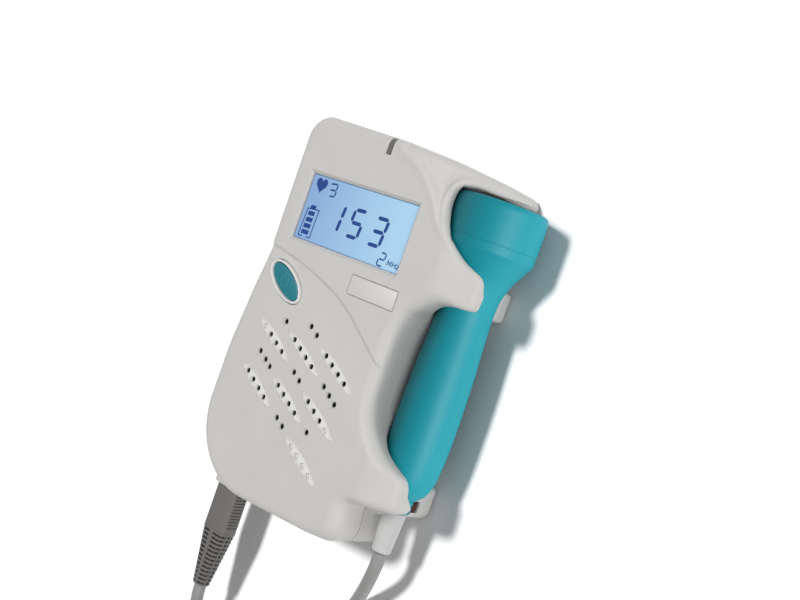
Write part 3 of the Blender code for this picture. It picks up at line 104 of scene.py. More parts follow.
def camera_axes():
    """Right, up and backward directions of the camera."""
    back = Vector(
        (
            math.sin(CAMERA_YAW) * math.cos(CAMERA_PITCH),
            math.sin(CAMERA_PITCH),
            math.cos(CAMERA_YAW) * math.cos(CAMERA_PITCH),
        )
    )
    level = Vector((math.cos(CAMERA_YAW), 0, -math.sin(CAMERA_YAW)))
    rise = back.cross(level)
    right = level * math.cos(CAMERA_ROLL) + rise * math.sin(CAMERA_ROLL)
    up = rise * math.cos(CAMERA_ROLL) - level * math.sin(CAMERA_ROLL)
    return right, up, back


def add_camera():
    data = bpy.data.cameras.new("camera")
    data.lens = CAMERA_LENS
    data.sensor_width = 36.0
    data.sensor_fit = "HORIZONTAL"
    data.clip_start = 0.01
    data.clip_end = 20.0
    obj = bpy.data.objects.new("camera", data)
    bpy.context.scene.collection.objects.link(obj)
    turn = Matrix(camera_axes()).transposed().to_4x4()
    obj.matrix_world = Matrix.Translation(CAMERA_PLACE) @ turn
    bpy.context.scene.camera = obj


class Nodes:
    """A short way to write a material's node tree."""

    def __init__(self, name):
        self.material = bpy.data.materials.new(name)
        self.material.use_nodes = True
        self.tree = self.material.node_tree
        self.shader = self.tree.nodes["Principled BSDF"]
        self.output = self.tree.nodes["Material Output"]

    def add(self, kind, values=(), **settings):
        node = self.tree.nodes.new(kind)
        for key, value in settings.items():
            setattr(node, key, value)
        for key, value in dict(values).items():
            node.inputs[key].default_value = value
        return node

    def join(self, start, end):
        self.tree.links.new(start, end)

    def coordinates(self):
        return self.add("ShaderNodeTexCoord").outputs["Object"]

    def noise(self, scale, detail=3.0, roughness=0.55):
        node = self.add(
            "ShaderNodeTexNoise", {"Scale": scale, "Detail": detail, "Roughness": roughness}
        )
        self.join(self.coordinates(), node.inputs["Vector"])
        return node.outputs["Fac"]

    def between(self, value, low, high):
        node = self.add("ShaderNodeMapRange", {"To Min": low, "To Max": high})
        self.join(value, node.inputs["Value"])
        return node.outputs["Result"]

    def mix(self, factor, first, second):
        node = self.add("ShaderNodeMix", data_type="RGBA")
        node.inputs["A"].default_value = (*first, 1)
        node.inputs["B"].default_value = (*second, 1)
        self.join(factor, node.inputs["Factor"])
        return node.outputs["Result"]

    def bump(self, height, strength, distance):
        node = self.add("ShaderNodeBump", {"Strength": strength, "Distance": distance})
        self.join(height, node.inputs["Height"])
        return node.outputs["Normal"]


def shade(colour, share):
    return tuple(min(c * share, 1.0) for c in colour)


def plastic(name, colour, roughness, grain=2600.0, cloud=60.0, vary=0.035, rough_vary=0.05,
            bump=0.12, depth=0.00006, metallic=0.0, coat=0.0, coat_roughness=0.1, specular=0.5):
    """A moulded surface: a slow drift of colour, and a fine grain in roughness and bump."""
    made = Nodes(name)
    shader = made.shader
    drift = made.noise(cloud, 2.0)
    fine = made.noise(grain, 4.0)
    base = made.mix(drift, shade(colour, 1 - vary), shade(colour, 1 + vary))
    made.join(base, shader.inputs["Base Color"])
    rough = made.between(fine, roughness - rough_vary, roughness + rough_vary)
    made.join(rough, shader.inputs["Roughness"])
    made.join(made.bump(fine, bump, depth), shader.inputs["Normal"])
    shader.inputs["Metallic"].default_value = metallic
    shader.inputs["Coat Weight"].default_value = coat
    shader.inputs["Coat Roughness"].default_value = coat_roughness
    shader.inputs["Specular IOR Level"].default_value = specular
    return made.material


CASE = plastic("case_plastic_grained", (0.575, 0.565, 0.548), 0.5, specular=0.4)
TRIM = plastic("trim_plastic_pale", (0.74, 0.735, 0.71), 0.42)
TEAL = plastic("teal_plastic_satin", (0.006, 0.235, 0.29), 0.5, grain=1500.0, bump=0.05,
               depth=0.00003, specular=0.25)
# The case's plastic made paler for the raised leaves: painted light, as the leaves catch more light
# than the face round them
LEAF_PAINTED_LIGHT = plastic("leaf_plastic_painted_light", (0.66, 0.652, 0.635), 0.45, specular=0.4)
BADGE = plastic("badge_plastic", (0.64, 0.63, 0.605), 0.4, specular=0.4)
BUTTON_TEAL = plastic("button_teal", (0.012, 0.19, 0.235), 0.36, grain=1800.0, bump=0.06)
SYMBOL_TEAL = plastic("symbol_teal", (0.03, 0.25, 0.31), 0.4, grain=1800.0, bump=0.06)
RESIN = plastic("face_resin", (0.5, 0.53, 0.52), 0.32, grain=900.0)
LENS_GREY = plastic("lens_grey", (0.15, 0.145, 0.14), 0.22, grain=700.0, bump=0.03)
BLACK = plastic("black_plastic_grained", (0.02, 0.02, 0.021), 0.48)
DARK = plastic("dark_plastic_grained", (0.07, 0.07, 0.072), 0.46)
RUBBER = plastic("soft_rubber_matt", (0.03, 0.03, 0.03), 0.8, specular=0.3)
# Near-black sheet under the speaker holes: painted shade standing in for the darkness inside them
SHADE_SHEET_BLACK = plastic("speaker_hole_painted_shade", (0.006, 0.006, 0.006), 0.9, grain=3200.0, bump=0.3, specular=0.1)
MAROON = plastic("maroon_rubber_matt", (0.07, 0.016, 0.018), 0.65, specular=0.3)
PLUG = plastic("plug_rubber_matt", (0.155, 0.15, 0.145), 0.6, grain=3400.0, bump=0.16,
               depth=0.0001, specular=0.3)
BOOT = plastic("boot_rubber_matt", (0.54, 0.54, 0.535), 0.55, grain=3000.0, specular=0.35)
CORD = plastic("cord_jacket_satin", (0.29, 0.29, 0.285), 0.42, grain=2200.0, specular=0.4)
TIE = plastic("tie_band", (0.03, 0.03, 0.032), 0.45)
NICKEL = plastic("nickel_plate", (0.62, 0.6, 0.57), 0.28, grain=900.0, metallic=1.0, bump=0.05)
STEEL = plastic("steel_plate", (0.5, 0.5, 0.5), 0.34, grain=900.0, metallic=1.0, bump=0.05)
GOLD = plastic("gold_plate_warm", (0.8, 0.6, 0.25), 0.28, grain=900.0, metallic=1.0, bump=0.05)
CERAMIC = plastic("ceramic_body", (0.72, 0.68, 0.6), 0.45)
CELL = plastic("cell_sleeve_film", (0.03, 0.12, 0.3), 0.3, coat=0.3)
WHITE = plastic("diffuser_white", (0.8, 0.82, 0.84), 0.45)
SEGMENT = plastic("lcd_segment", (0.012, 0.055, 0.26), 0.35, bump=0.03)


def screen_material(name, low_x, high_x):
    """The lit screen: pale blue, deeper towards its left edge, under smooth glass."""
    made = Nodes(name)
    shader = made.shader
    split = made.add("ShaderNodeSeparateXYZ")
    made.join(made.coordinates(), split.inputs["Vector"])
    across = made.add("ShaderNodeMapRange", {"From Min": low_x, "From Max": high_x})
    made.join(split.outputs["X"], across.inputs["Value"])
    wobble = made.noise(40.0, 2.0)
    total = made.add("ShaderNodeMath", {1: 0.25}, operation="MULTIPLY_ADD")
    made.join(wobble, total.inputs[0])
    made.join(across.outputs["Result"], total.inputs[2])
    colour = made.mix(total.outputs["Value"], (0.20, 0.34, 0.60), (0.37, 0.60, 0.80))
    made.join(colour, shader.inputs["Base Color"])
    made.join(colour, shader.inputs["Emission Color"])
    shader.inputs["Emission Strength"].default_value = 0.12
    made.join(made.between(wobble, 0.28, 0.36), shader.inputs["Roughness"])
    shader.inputs["Coat Weight"].default_value = 0.3
    shader.inputs["Coat Roughness"].default_value = 0.08
    return made.material


def board_material(name):
    """Green board with a fine lattice of traces."""
    made = Nodes(name)
    shader = made.shader
    cells = made.add("ShaderNodeTexVoronoi", {"Scale": 450.0}, distance="CHEBYCHEV")
    made.join(made.coordinates(), cells.inputs["Vector"])
    colour = made.mix(cells.outputs["Distance"], (0.01, 0.10, 0.04), (0.04, 0.24, 0.09))
    made.join(colour, shader.inputs["Base Color"])
    made.join(made.between(cells.outputs["Distance"], 0.35, 0.55), shader.inputs["Roughness"])
    made.join(made.bump(cells.outputs["Distance"], 0.2, 0.0001), shader.inputs["Normal"])
    return made.material


BOARD = board_material("circuit_board_green")


def new_mesh(name, places, faces):
    """A mesh from millimetre places."""
    data = bpy.data.meshes.new(name)
    data.from_pydata([tuple(c * MM for c in p) for p in places], [], [tuple(f) for f in faces])
    data.update()
    return data


def span(node):
    """The low and high corners of a CAD node's box, in millimetres."""
    return [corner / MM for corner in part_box(node)]


def scratch(name, data):
    obj = bpy.data.objects.new(name, data)
    bpy.context.scene.collection.objects.link(obj)
    return obj


def piece(name, data, skin, body, stands_for=(), angle=SHARP_ANGLE):
    """A finished piece on its body."""
    obj = scratch(name, data)
    data.materials.clear()
    data.materials.append(skin)
    data.shade_smooth()
    data.set_sharp_from_angle(angle=angle)
    if body:
        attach(obj, body)
    if stands_for:
        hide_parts(*stands_for)
    return obj


def bake(obj):
    """The object's modifiers are applied to its mesh."""
    depsgraph = bpy.context.evaluated_depsgraph_get()
    data = bpy.data.meshes.new_from_object(obj.evaluated_get(depsgraph))
    obj.modifiers.clear()
    obj.data = data
    return data


def cut(data, tools, operation="DIFFERENCE"):
    """The mesh after one boolean with each tool mesh in turn."""
    obj = scratch("cut_target", data)
    helpers = []
    for i, tool in enumerate(tools):
        helper = scratch(f"cut_tool_{i}", tool)
        helpers.append(helper)
        mod = obj.modifiers.new("cut", "BOOLEAN")
        mod.operation = operation
        mod.solver = "MANIFOLD"
        mod.object = helper
    made = bake(obj)
    for helper in helpers + [obj]:
        bpy.data.objects.remove(helper, do_unlink=True)
    return made


def thinned(data, ratio):
    obj = scratch("thin_target", data)
    mod = obj.modifiers.new("thin", "DECIMATE")
    mod.ratio = ratio
    made = bake(obj)
    bpy.data.objects.remove(obj, do_unlink=True)
    return made


def finish_bmesh(bm, name):
    bmesh.ops.recalc_face_normals(bm, faces=bm.faces)
    data = bpy.data.meshes.new(name)
    bm.to_mesh(data)
    bm.free()
    return data


def loft(rings, name, closed=False):
    """A body through rings of equal length: capped, or closed from its last ring to its first."""
    count, last = len(rings[0]), len(rings) - 1
    faces = []
    for row in range(len(rings) if closed else last):
        low, high = row * count, (row + 1) % len(rings) * count
        for i in range(count):
            j = (i + 1) % count
            faces.append((low + i, low + j, high + j, high + i))
    if not closed:
        faces.append(tuple(range(count))[::-1])
        faces.append(tuple(range(last * count, (last + 1) * count)))
    return tidy_normals(new_mesh(name, [p for ring in rings for p in ring], faces))


def tidy_normals(data):
    bm = bmesh.new()
    bm.from_mesh(data)
    bmesh.ops.recalc_face_normals(bm, faces=bm.faces)
    bm.to_mesh(data)
    bm.free()
    return data


def prism(loop, low, high, name):
    return loft([[(x, y, z) for x, y in loop] for z in (low, high)], name)


def box_mesh(low, high, name):
    loop = ((low[0], low[1]), (high[0], low[1]), (high[0], high[1]), (low[0], high[1]))
    return prism(loop, low[2], high[2], name)


def soft_box(low, high, radius, name, steps=3):
    """A box with rounded edges."""
    bm = bmesh.new()
    bm.from_mesh(box_mesh(low, high, name))
    bmesh.ops.bevel(
        bm, geom=bm.edges[:], offset=radius * MM, segments=steps, profile=0.5, affect="EDGES"
    )
    return finish_bmesh(bm, name)


def ellipse(centre, length, width, turn, steps=96):
    made = []
    for k in range(steps):
        a = math.tau * k / steps
        u, v = length / 2 * math.cos(a), width / 2 * math.sin(a)
        made.append(
            (
                centre[0] + u * math.cos(turn) - v * math.sin(turn),
                centre[1] + u * math.sin(turn) + v * math.cos(turn),
            )
        )
    return made


def spline(given, steps):
    """A centripetal Catmull-Rom curve, which stays free of loops where the spacing jumps."""
    given = [np.array(p, float) for p in given]
    padded = [given[0] * 2 - given[1], *given, given[-1] * 2 - given[-2]]
    made = []
    for before, start, end, after in zip(padded, given, given[1:], padded[3:]):
        a, b, c = [
            math.sqrt(math.dist(p, q)) for p, q in ((before, start), (start, end), (end, after))
        ]
        into = ((start - before) / a - (end - before) / (a + b) + (end - start) / b) * b
        out = ((end - start) / b - (after - start) / (b + c) + (after - end) / c) * b
        for k in range(steps):
            t = k / steps
            made.append(
                start * (2 * t**3 - 3 * t**2 + 1)
                + into * (t**3 - 2 * t**2 + t)
                + end * (3 * t**2 - 2 * t**3)
                + out * (t**3 - t**2)
            )
    made.append(given[-1])
    return made


def filleted(points, radii, steps=5):
    """An open path whose inner corners are rounded, each by its own radius."""
    made = [points[0]]
    for i in range(1, len(points) - 1):
        here = Vector(points[i])
        before = Vector(points[i - 1]) - here
        after = Vector(points[i + 1]) - here
        opening = before.angle(after)
        if radii[i] <= 0 or opening > math.pi - 0.02:
            made.append(points[i])
            continue
        reach = min(radii[i] / math.tan(opening / 2), before.length * 0.49, after.length * 0.49)
        radius = reach * math.tan(opening / 2)
        start = here + before.normalized() * reach
        end = here + after.normalized() * reach
        middle = (before.normalized() + after.normalized()).normalized()
        centre = here + middle * radius / math.sin(opening / 2)
        for k in range(steps + 1):
            spoke = (start - centre).lerp(end - centre, k / steps).normalized()
            made.append(tuple(centre + spoke * radius))
    made.append(points[-1])
    return made


def turned(profile, centre, name, axis="Y", sides=72, angles=None, closed=False):
    """A body turned about an axis through centre. The profile is a list of (radius, place
    along the axis)."""
    if angles is None:
        angles = [math.tau * k / sides for k in range(sides)]
    places, rows, faces = [], [], []
    for radius, along in profile:
        spots = [0.0] if radius == 0 else angles
        rows.append(range(len(places), len(places) + len(spots)))
        for a in spots:
            u, v = radius * math.cos(a), radius * math.sin(a)
            if axis == "Y":
                places.append((centre[0] + u, along, centre[2] + v))
            else:
                places.append((centre[0] + u, centre[1] + v, along))
    pairs = list(zip(rows, rows[1:]))
    if closed:
        pairs.append((rows[-1], rows[0]))
    count = len(angles)
    for lower, upper in pairs:
        for i in range(count):
            j = (i + 1) % count
            if len(lower) == 1 and len(upper) == 1:
                continue
            if len(lower) == 1:
                faces.append((lower[0], upper[j], upper[i]))
            elif len(upper) == 1:
                faces.append((lower[i], lower[j], upper[0]))
            else:
                faces.append((lower[i], lower[j], upper[j], upper[i]))
    return tidy_normals(new_mesh(name, places, faces))


def rod(centre, radius, low, high, name, axis="Z", sides=48):
    return turned(((0, low), (radius, low), (radius, high), (0, high)), centre, name, axis, sides)


# Corners of the case as shares of its half sizes, each with the radius of its rounding
front_outline_shares = (
    (-0.9216, 1.003, 0.176), (0.0, 0.975, 0.9), (0.46, 0.945, 0.8), (0.99, 0.864, 0.062),
    (0.99, 0.79, 0.07), (0.9333, 0.70, 0.02), (0.9333, 0.10, 0.3), (0.884, -0.20, 0.3),
    (0.884, -0.69, 0.07), (0.5255, -0.733, 0.05), (0.555, -0.955, 0.137), (-0.40, -1.0, 0.3),
    (-1.006, -1.004, 0.56), (-1.0, -0.30, 1.2), (-0.9147, 0.28, 0.8),
)
rear_outline_shares = (
    (-0.9216, 1.003, 0.176), (0.0, 0.975, 0.9), (0.46, 0.945, 0.8), (0.745, 0.905, 0.07),
    (0.745, 0.74, 0.02), (0.776, 0.46, 0.07), (0.776, 0.29, 0.07), (0.735, 0.0, 0.03),
    (0.735, -0.753, 0.07), (0.528, -0.753, 0.03), (0.555, -0.955, 0.137), (-0.40, -1.0, 0.3),
    (-1.006, -1.004, 0.56), (-1.0, -0.30, 1.2), (-0.9147, 0.28, 0.8),
)
# Edges of the head's pocket and of the finger scoop, open towards the right
pocket_start_shares = (
    (1.3, 0.8415), (0.72, 0.849), (0.645, 0.8514), (0.58, 0.843), (0.535, 0.8186),
    (0.515, 0.786), (0.513, 0.7486), (0.548, 0.683), (0.6, 0.6214),
)
front_pocket_shares = pocket_start_shares + (
    (0.675, 0.5629), (0.755, 0.5157), (0.822, 0.4914), (0.872, 0.4771), (0.91, 0.46),
    (0.93, 0.435), (0.936, 0.41), (1.3, 0.40),
)
front_scoop_shares = (
    (1.3, 0.36), (0.936, 0.35), (0.926, 0.325), (0.895, 0.3086), (0.83, 0.303),
    (0.73, 0.2971), (0.6471, 0.2786), (0.565, 0.2371), (0.496, 0.1943), (0.455, 0.1171),
    (0.443, 0.03), (0.443, -0.09), (0.443, -0.2043), (0.4588, -0.27), (0.5059, -0.3457),
    (0.5824, -0.4086), (0.6824, -0.4643), (0.7824, -0.5014), (0.84, -0.52),
    (0.868, -0.54), (0.884, -0.57), (0.888, -0.61), (1.3, -0.62),
)
rear_pocket_shares = pocket_start_shares + (
    (0.65, 0.55), (0.695, 0.485), (0.735, 0.445), (0.79, 0.437), (1.3, 0.437),
)
rear_scoop_shares = (
    (1.3, 0.284), (0.83, 0.284), (0.745, 0.284), (0.64, 0.2671), (0.565, 0.2386),
    (0.496, 0.1943), (0.455, 0.1171), (0.443, 0.03), (0.443, -0.09), (0.443, -0.2043),
    (0.4588, -0.27), (0.5059, -0.3457), (0.565, -0.43), (0.62, -0.515), (0.665, -0.568),
    (0.72, -0.584), (1.3, -0.586),
)
# The probe's outline along Y, radii as shares of the named radius beside it
head_shares = ((0.832, 0.95), (0.82, 1.0), (0.635, 1.0))
cone_shares = ((0.592, 1.0), (0.53, 0.845), (0.466, 0.70))
neck_shares = ((0.39, 1.045), (0.29, 1.0))
handle_shares = (
    (0.14, 0.914), (0.014, 0.962), (-0.2, 1.0), (-0.36, 1.0), (-0.457, 0.971),
    (-0.543, 0.905), (-0.60, 0.77), (-0.63, 0.60), (-0.643, 0.52),
)


def rounded_loop(corner_shares):
    """The closed outline with rounded corners, as points a few degrees apart."""
    corners = [
        (Vector((x * HALF_WIDTH, y * HALF_LENGTH)), r * HALF_WIDTH) for x, y, r in corner_shares
    ]
    points = []
    for i, (corner, radius) in enumerate(corners):
        before = (corners[i - 1][0] - corner).normalized()
        after = (corners[(i + 1) % len(corners)][0] - corner).normalized()
        opening = before.angle(after)
        reach = radius / math.tan(opening / 2)
        start, end = corner + before * reach, corner + after * reach
        centre = corner + (before + after).normalized() * radius / math.sin(opening / 2)
        steps = max(2, math.ceil((math.pi - opening) / math.radians(6)))
        for k in range(steps + 1):
            spoke = (start - centre).lerp(end - centre, k / steps).normalized()
            points.append(tuple(centre + spoke * radius))
    return points


def smooth_path(shares, steps=4):
    given = [(x * HALF_WIDTH, y * HALF_LENGTH) for x, y in shares]
    return [tuple(p) for p in spline(given, steps)]


def segment_distance(x, y, a, b):
    """Distance to a segment, and which side of it a point lies on."""
    across, along = b[0] - a[0], b[1] - a[1]
    length = max(across * across + along * along, 1e-9)
    t = np.clip(((x - a[0]) * across + (y - a[1]) * along) / length, 0, 1)
    side = across * (y - a[1]) - along * (x - a[0])
    return np.hypot(x - a[0] - t * across, y - a[1] - t * along), side


def loop_distance(x, y, loop):
    """Signed distance to a closed loop, negative inside it."""
    best = np.full(x.shape, np.inf)
    odd = np.zeros(x.shape, bool)
    for a, b in zip(loop, loop[1:] + loop[:1]):
        best = np.minimum(best, segment_distance(x, y, a, b)[0])
        if a[1] != b[1]:
            reach = (b[0] - a[0]) * (y - a[1]) / (b[1] - a[1]) + a[0]
            odd ^= ((a[1] > y) != (b[1] > y)) & (x < reach)
    return np.where(odd, -best, best)


def line_distance(x, y, line):
    """Signed distance to an open line, positive on its left."""
    best = np.full(x.shape, np.inf)
    signed = np.zeros(x.shape)
    for a, b in zip(line, line[1:]):
        apart, side = segment_distance(x, y, a, b)
        nearer = apart < best
        best = np.where(nearer, apart, best)
        signed = np.where(nearer, np.where(side >= 0, apart, -apart), signed)
    return signed


class Table:
    """A function of two places, kept on a fine grid and read between its points."""

    STEP = 0.25

    def __init__(self, low, high, function):
        self.low = low
        self.count = [math.ceil((b - a) / self.STEP) + 1 for a, b in zip(low, high)]
        axes = [low[i] + self.STEP * np.arange(self.count[i]) for i in range(2)]
        self.values = function(*np.meshgrid(*axes, indexing="ij"))

    def __call__(self, x, y):
        u = np.clip((x - self.low[0]) / self.STEP, 0, self.count[0] - 1.001)
        v = np.clip((y - self.low[1]) / self.STEP, 0, self.count[1] - 1.001)
        i, j = u.astype(int), v.astype(int)
        s, t = u - i, v - j
        kept = self.values
        low = kept[i, j] * (1 - t) + kept[i, j + 1] * t
        high = kept[i + 1, j] * (1 - t) + kept[i + 1, j + 1] * t
        return low * (1 - s) + high * s


def smoothstep(value):
    t = np.clip(value, 0.0, 1.0)
    return t * t * (3 - 2 * t)


def round_and(a, b, radius):
    """The solid common to two, its edge rounded by a radius."""
    edge = np.hypot(np.maximum(a + radius, 0), np.maximum(b + radius, 0)) - radius
    return np.where((a > -radius) & (b > -radius), edge, np.maximum(a, b))


# The face: a slope towards the right, as in the CAD, and two soft lines that cross it
slope_band_shares = (0.514, 0.943)
arm_band_shares = (0.514, 0.8)
slope_start_shares = (0.588, 0.157)
slope_end_shares = (0.933, 0.994)
SLOPE_POWER = 1.6
LOBE_DROP = 5.5
ARM_EXTRA_DROP = 6.5
crease_points = (
    (-60.0, 20.6), (-50.0, 20.2), (-46.0, 19.8), (-40.7, 19.0), (-32.0, 17.6), (-22.8, 15.6),
    (-9.4, 11.8), (0.0, 7.7), (8.1, 2.8), (14.3, -1.4), (22.4, -6.6), (30.0, -11.6),
)
CREASE_DROP = 0.7
CREASE_EDGE = 0.7
CREASE_FADE = 22.0
ridge_points = (
    (-1.5, 72.0), (-0.2, 65.6), (7.5, 62.0), (15.0, 57.2), (20.5, 51.7), (24.0, 46.2),
    (27.8, 42.5), (33.7, 39.3), (40.0, 37.5),
)
RIDGE_DROP = 0.75
RIDGE_WIDTH = 4.0
BEAD_RISE = 0.3
BEAD_HALF = 1.5
LIP_RISE = 1.0
LIP_HALF = 1.5
LIP_SET_BACK = 1.5
CORNER_RISE = 1.4
CORNER_PLACE = (27.5, 58.5)
CORNER_HALF = 4.5


def cad_face(x, y):
    """Height of the CAD's front face."""
    low, high = slope_band_shares
    rise = smoothstep((y / HALF_LENGTH - low) / (high - low))
    arm_low, arm_high = arm_band_shares
    arm = smoothstep((y / HALF_LENGTH - arm_low) / (arm_high - arm_low))
    start = slope_start_shares[0] + (slope_start_shares[1] - slope_start_shares[0]) * rise
    end = slope_end_shares[0] + (slope_end_shares[1] - slope_end_shares[0]) * arm
    along = np.clip((x / HALF_WIDTH - start) / (end - start), 0, 1)
    return FACE - (LOBE_DROP + ARM_EXTRA_DROP * arm) * along**SLOPE_POWER


def face_height(x, y):
    below = -line_distance(x, y, [tuple(p) for p in spline(crease_points, 6)])
    step = smoothstep(below / CREASE_EDGE) * (1 - smoothstep((below - 1) / CREASE_FADE))
    beyond = line_distance(x, y, [tuple(p) for p in spline(ridge_points, 6)])
    fade = smoothstep((46 - x) / 12)
    ridge = smoothstep(beyond / RIDGE_WIDTH + 0.1) * fade
    bead = np.exp(-((beyond / BEAD_HALF) ** 2)) * fade
    rim = loop_distance(x, y, smooth_path(front_pocket_shares))
    lip = np.exp(-(((rim - LIP_SET_BACK) / LIP_HALF) ** 2)) * smoothstep((44 - x) / 10)
    lip = lip * smoothstep(beyond / 3)
    corner = np.hypot(x - CORNER_PLACE[0], y - CORNER_PLACE[1]) / CORNER_HALF
    raised = BEAD_RISE * bead + LIP_RISE * lip + CORNER_RISE * np.exp(-(corner**2))
    return cad_face(x, y) - CREASE_DROP * step - RIDGE_DROP * ridge + raised


def channel_loop():
    """The probe's shape grown by its clearance, as a loop of (radius, place)."""
    profile = [(HEAD_RADIUS * r, HALF_LENGTH * y) for y, r in head_shares + cone_shares]
    profile += [(NECK_RADIUS * r, HALF_LENGTH * y) for y, r in neck_shares]
    profile += [(HANDLE_RADIUS * r, HALF_LENGTH * y) for y, r in handle_shares]
    profile = [(r + DOCK_CLEARANCE, y) for r, y in profile]
    profile[0] = (HEAD_RADIUS + DOCK_CLEARANCE, profile[0][1] + DOCK_CLEARANCE)
    end = profile[-1][1] - DOCK_CLEARANCE
    tail = BOOT_RADIUS + 2 * DOCK_CLEARANCE
    profile = [p for p in profile if p[0] >= tail]
    profile += [(tail, end), (tail, -HALF_LENGTH - OVERRUN)]
    deep = -2 * HEAD_RADIUS
    return profile + [(deep, -HALF_LENGTH - OVERRUN), (deep, profile[0][1])]


def channel_table():
    loop = channel_loop()
    return Table((-1.0, -76.0), (34.0, 72.0), lambda r, y: loop_distance(r, y, loop))


# Radii of the case's rounded edges
FRONT_EDGE = 3.0
BULGE_EDGE_MORE = 2.8
ARM_EDGE_LESS = 1.75
REAR_EDGE = 2.5
REAR_SCOOP_EDGE = 1.6
REAR_POCKET_EDGE = 1.2
CHANNEL_EDGE = 0.8
PLAN_LOW = (-53.0, -72.5)
PLAN_HIGH = (53.0, 72.5)


class CaseField:
    """About the signed distance to one half of the case, taken as solid."""

    def __init__(self, outline, pocket, scoop, front, channel):
        loops = [rounded_loop(outline), smooth_path(pocket), smooth_path(scoop)]
        self.outline, self.pocket, self.scoop = [
            Table(PLAN_LOW, PLAN_HIGH, lambda x, y, loop=loop: loop_distance(x, y, loop))
            for loop in loops
        ]
        self.front = front
        self.channel = channel
        if front:
            self.height = Table(PLAN_LOW, PLAN_HIGH, face_height)

    def edge_radius(self, x, y):
        """Wider on the bulge at the lower right corner, narrower along the upper arm."""
        bulge = smoothstep((x - 12) / 12) * smoothstep((-47 - y) / 7)
        arm = smoothstep((x - 20) / 14) * smoothstep((y - 45) / 8)
        return FRONT_EDGE + BULGE_EDGE_MORE * bulge - ARM_EDGE_LESS * arm

    def pocket_radius(self, x, y):
        return 1.6 - 0.8 * smoothstep((y - 46) / 6)

    def scoop_radius(self, x):
        return 1.5 + 2.7 * smoothstep((45 - x) / 14)

    def __call__(self, x, y, z):
        side = self.outline(x, y)
        if self.front:
            made = round_and(side, z - self.height(x, y), self.edge_radius(x, y))
            made = round_and(made, -self.scoop(x, y), self.scoop_radius(x))
            made = round_and(made, -self.pocket(x, y), self.pocket_radius(x, y))
        else:
            made = round_and(side, -z, REAR_EDGE)
            made = round_and(made, -self.scoop(x, y), REAR_SCOOP_EDGE)
            made = round_and(made, -self.pocket(x, y), REAR_POCKET_EDGE)
        level = np.abs(z - AXIS_Z)
        radius = np.where(x > AXIS_X, level, np.hypot(x - AXIS_X, level))
        return round_and(made, -self.channel(radius, y), CHANNEL_EDGE)


def surface_nets(function, low, high, step, name):
    """The closed surface where the function is zero, as a mesh of small quads."""
    count = [math.ceil((b - a) / step) + 1 for a, b in zip(low, high)]
    axes = [low[i] + step * np.arange(count[i]) for i in range(3)]
    field = function(*np.meshgrid(*axes, indexing="ij"))
    for axis in range(3):
        ends = np.moveaxis(field, axis, 0)
        ends[0] = np.maximum(ends[0], step)
        ends[-1] = np.maximum(ends[-1], step)
    solid = field < 0
    total = np.zeros([c - 1 for c in count], np.int8)
    for i, j, k in product((0, 1), repeat=3):
        total += solid[i:count[0] - 1 + i, j:count[1] - 1 + j, k:count[2] - 1 + k]
    mixed = (total > 0) & (total < 8)
    cells = np.argwhere(mixed)
    index = np.full(mixed.shape, -1, int)
    index[mixed] = np.arange(len(cells))
    sums, hits = np.zeros((len(cells), 3)), np.zeros(len(cells))
    for axis in range(3):
        others = [a for a in range(3) if a != axis]
        for u, v in product((0, 1), repeat=2):
            corner = np.zeros(3, int)
            corner[others[0]], corner[others[1]] = u, v
            far = corner.copy()
            far[axis] = 1
            first = field[tuple((cells + corner).T)]
            second = field[tuple((cells + far).T)]
            crossing = (first < 0) != (second < 0)
            share = np.where(crossing, first / np.where(crossing, first - second, 1), 0)
            spot = corner + np.outer(share, far - corner)
            sums += np.where(crossing[:, None], spot, 0)
            hits += crossing
    places = np.array(low) + step * (cells + sums / hits[:, None])
    faces = []
    for axis in range(3):
        u, v = (axis + 1) % 3, (axis + 2) % 3
        inner = [slice(1, -1)] * 3
        inner[axis] = slice(0, -1)
        outer = list(inner)
        outer[axis] = slice(1, None)
        first, second = solid[tuple(inner)], solid[tuple(outer)]
        for here, there, forward in ((first, second, True), (second, first, False)):
            edges = np.argwhere(here & ~there)
            start = edges + 1
            start[:, axis] -= 1
            quad = []
            for back_u, back_v in ((1, 1), (0, 1), (0, 0), (1, 0)):
                cell = start.copy()
                cell[:, u] -= back_u
                cell[:, v] -= back_v
                quad.append(index[tuple(cell.T)])
            if not forward:
                quad.reverse()
            faces.append(np.stack(quad, 1))
    places = settled(function, places, step)
    return new_mesh(name, places, np.concatenate(faces))


def settled(function, places, step):
    """The places moved onto the zero of the function, by two short Newton steps."""
    small = step / 10
    for _ in range(2):
        value = function(*places.T)
        slope = np.zeros(places.shape)
        for axis in range(3):
            ahead, behind = places.copy(), places.copy()
            ahead[:, axis] += small
            behind[:, axis] -= small
            slope[:, axis] = (function(*ahead.T) - function(*behind.T)) / (2 * small)
        size = np.maximum((slope**2).sum(1), 0.2)
        move = slope * (value / size)[:, None]
        length = np.linalg.norm(move, axis=1)
        limit = np.minimum(1, step / 2 / np.maximum(length, 1e-9))
        places = places - move * limit[:, None]
    return places


# Spacing of the nets, and the share of their faces that is kept
NET_STEP = 0.6
HOLLOW_STEP = 0.8
NET_SHARE = 0.4
HOLLOW_SHARE = 0.25
NET_MARGIN = 3.0


def case_half(field, low_z, high_z, keep_low, keep_high, name):
    """A hollow half of the case, cut flat at the parting."""
    low = (PLAN_LOW[0], PLAN_LOW[1], low_z)
    high = (PLAN_HIGH[0], PLAN_HIGH[1], high_z)
    outer = thinned(surface_nets(field, low, high, NET_STEP, name), NET_SHARE)
    inner = surface_nets(
        lambda x, y, z: field(x, y, z) + WALL, low, high, HOLLOW_STEP, "hollow"
    )
    u, v = HALF_WIDTH + OVERRUN, HALF_LENGTH + OVERRUN
    keep = box_mesh((-u, -v, keep_low), (u, v, keep_high), "keep")
    return cut(cut(outer, [thinned(inner, HOLLOW_SHARE)]), [keep], "INTERSECT")


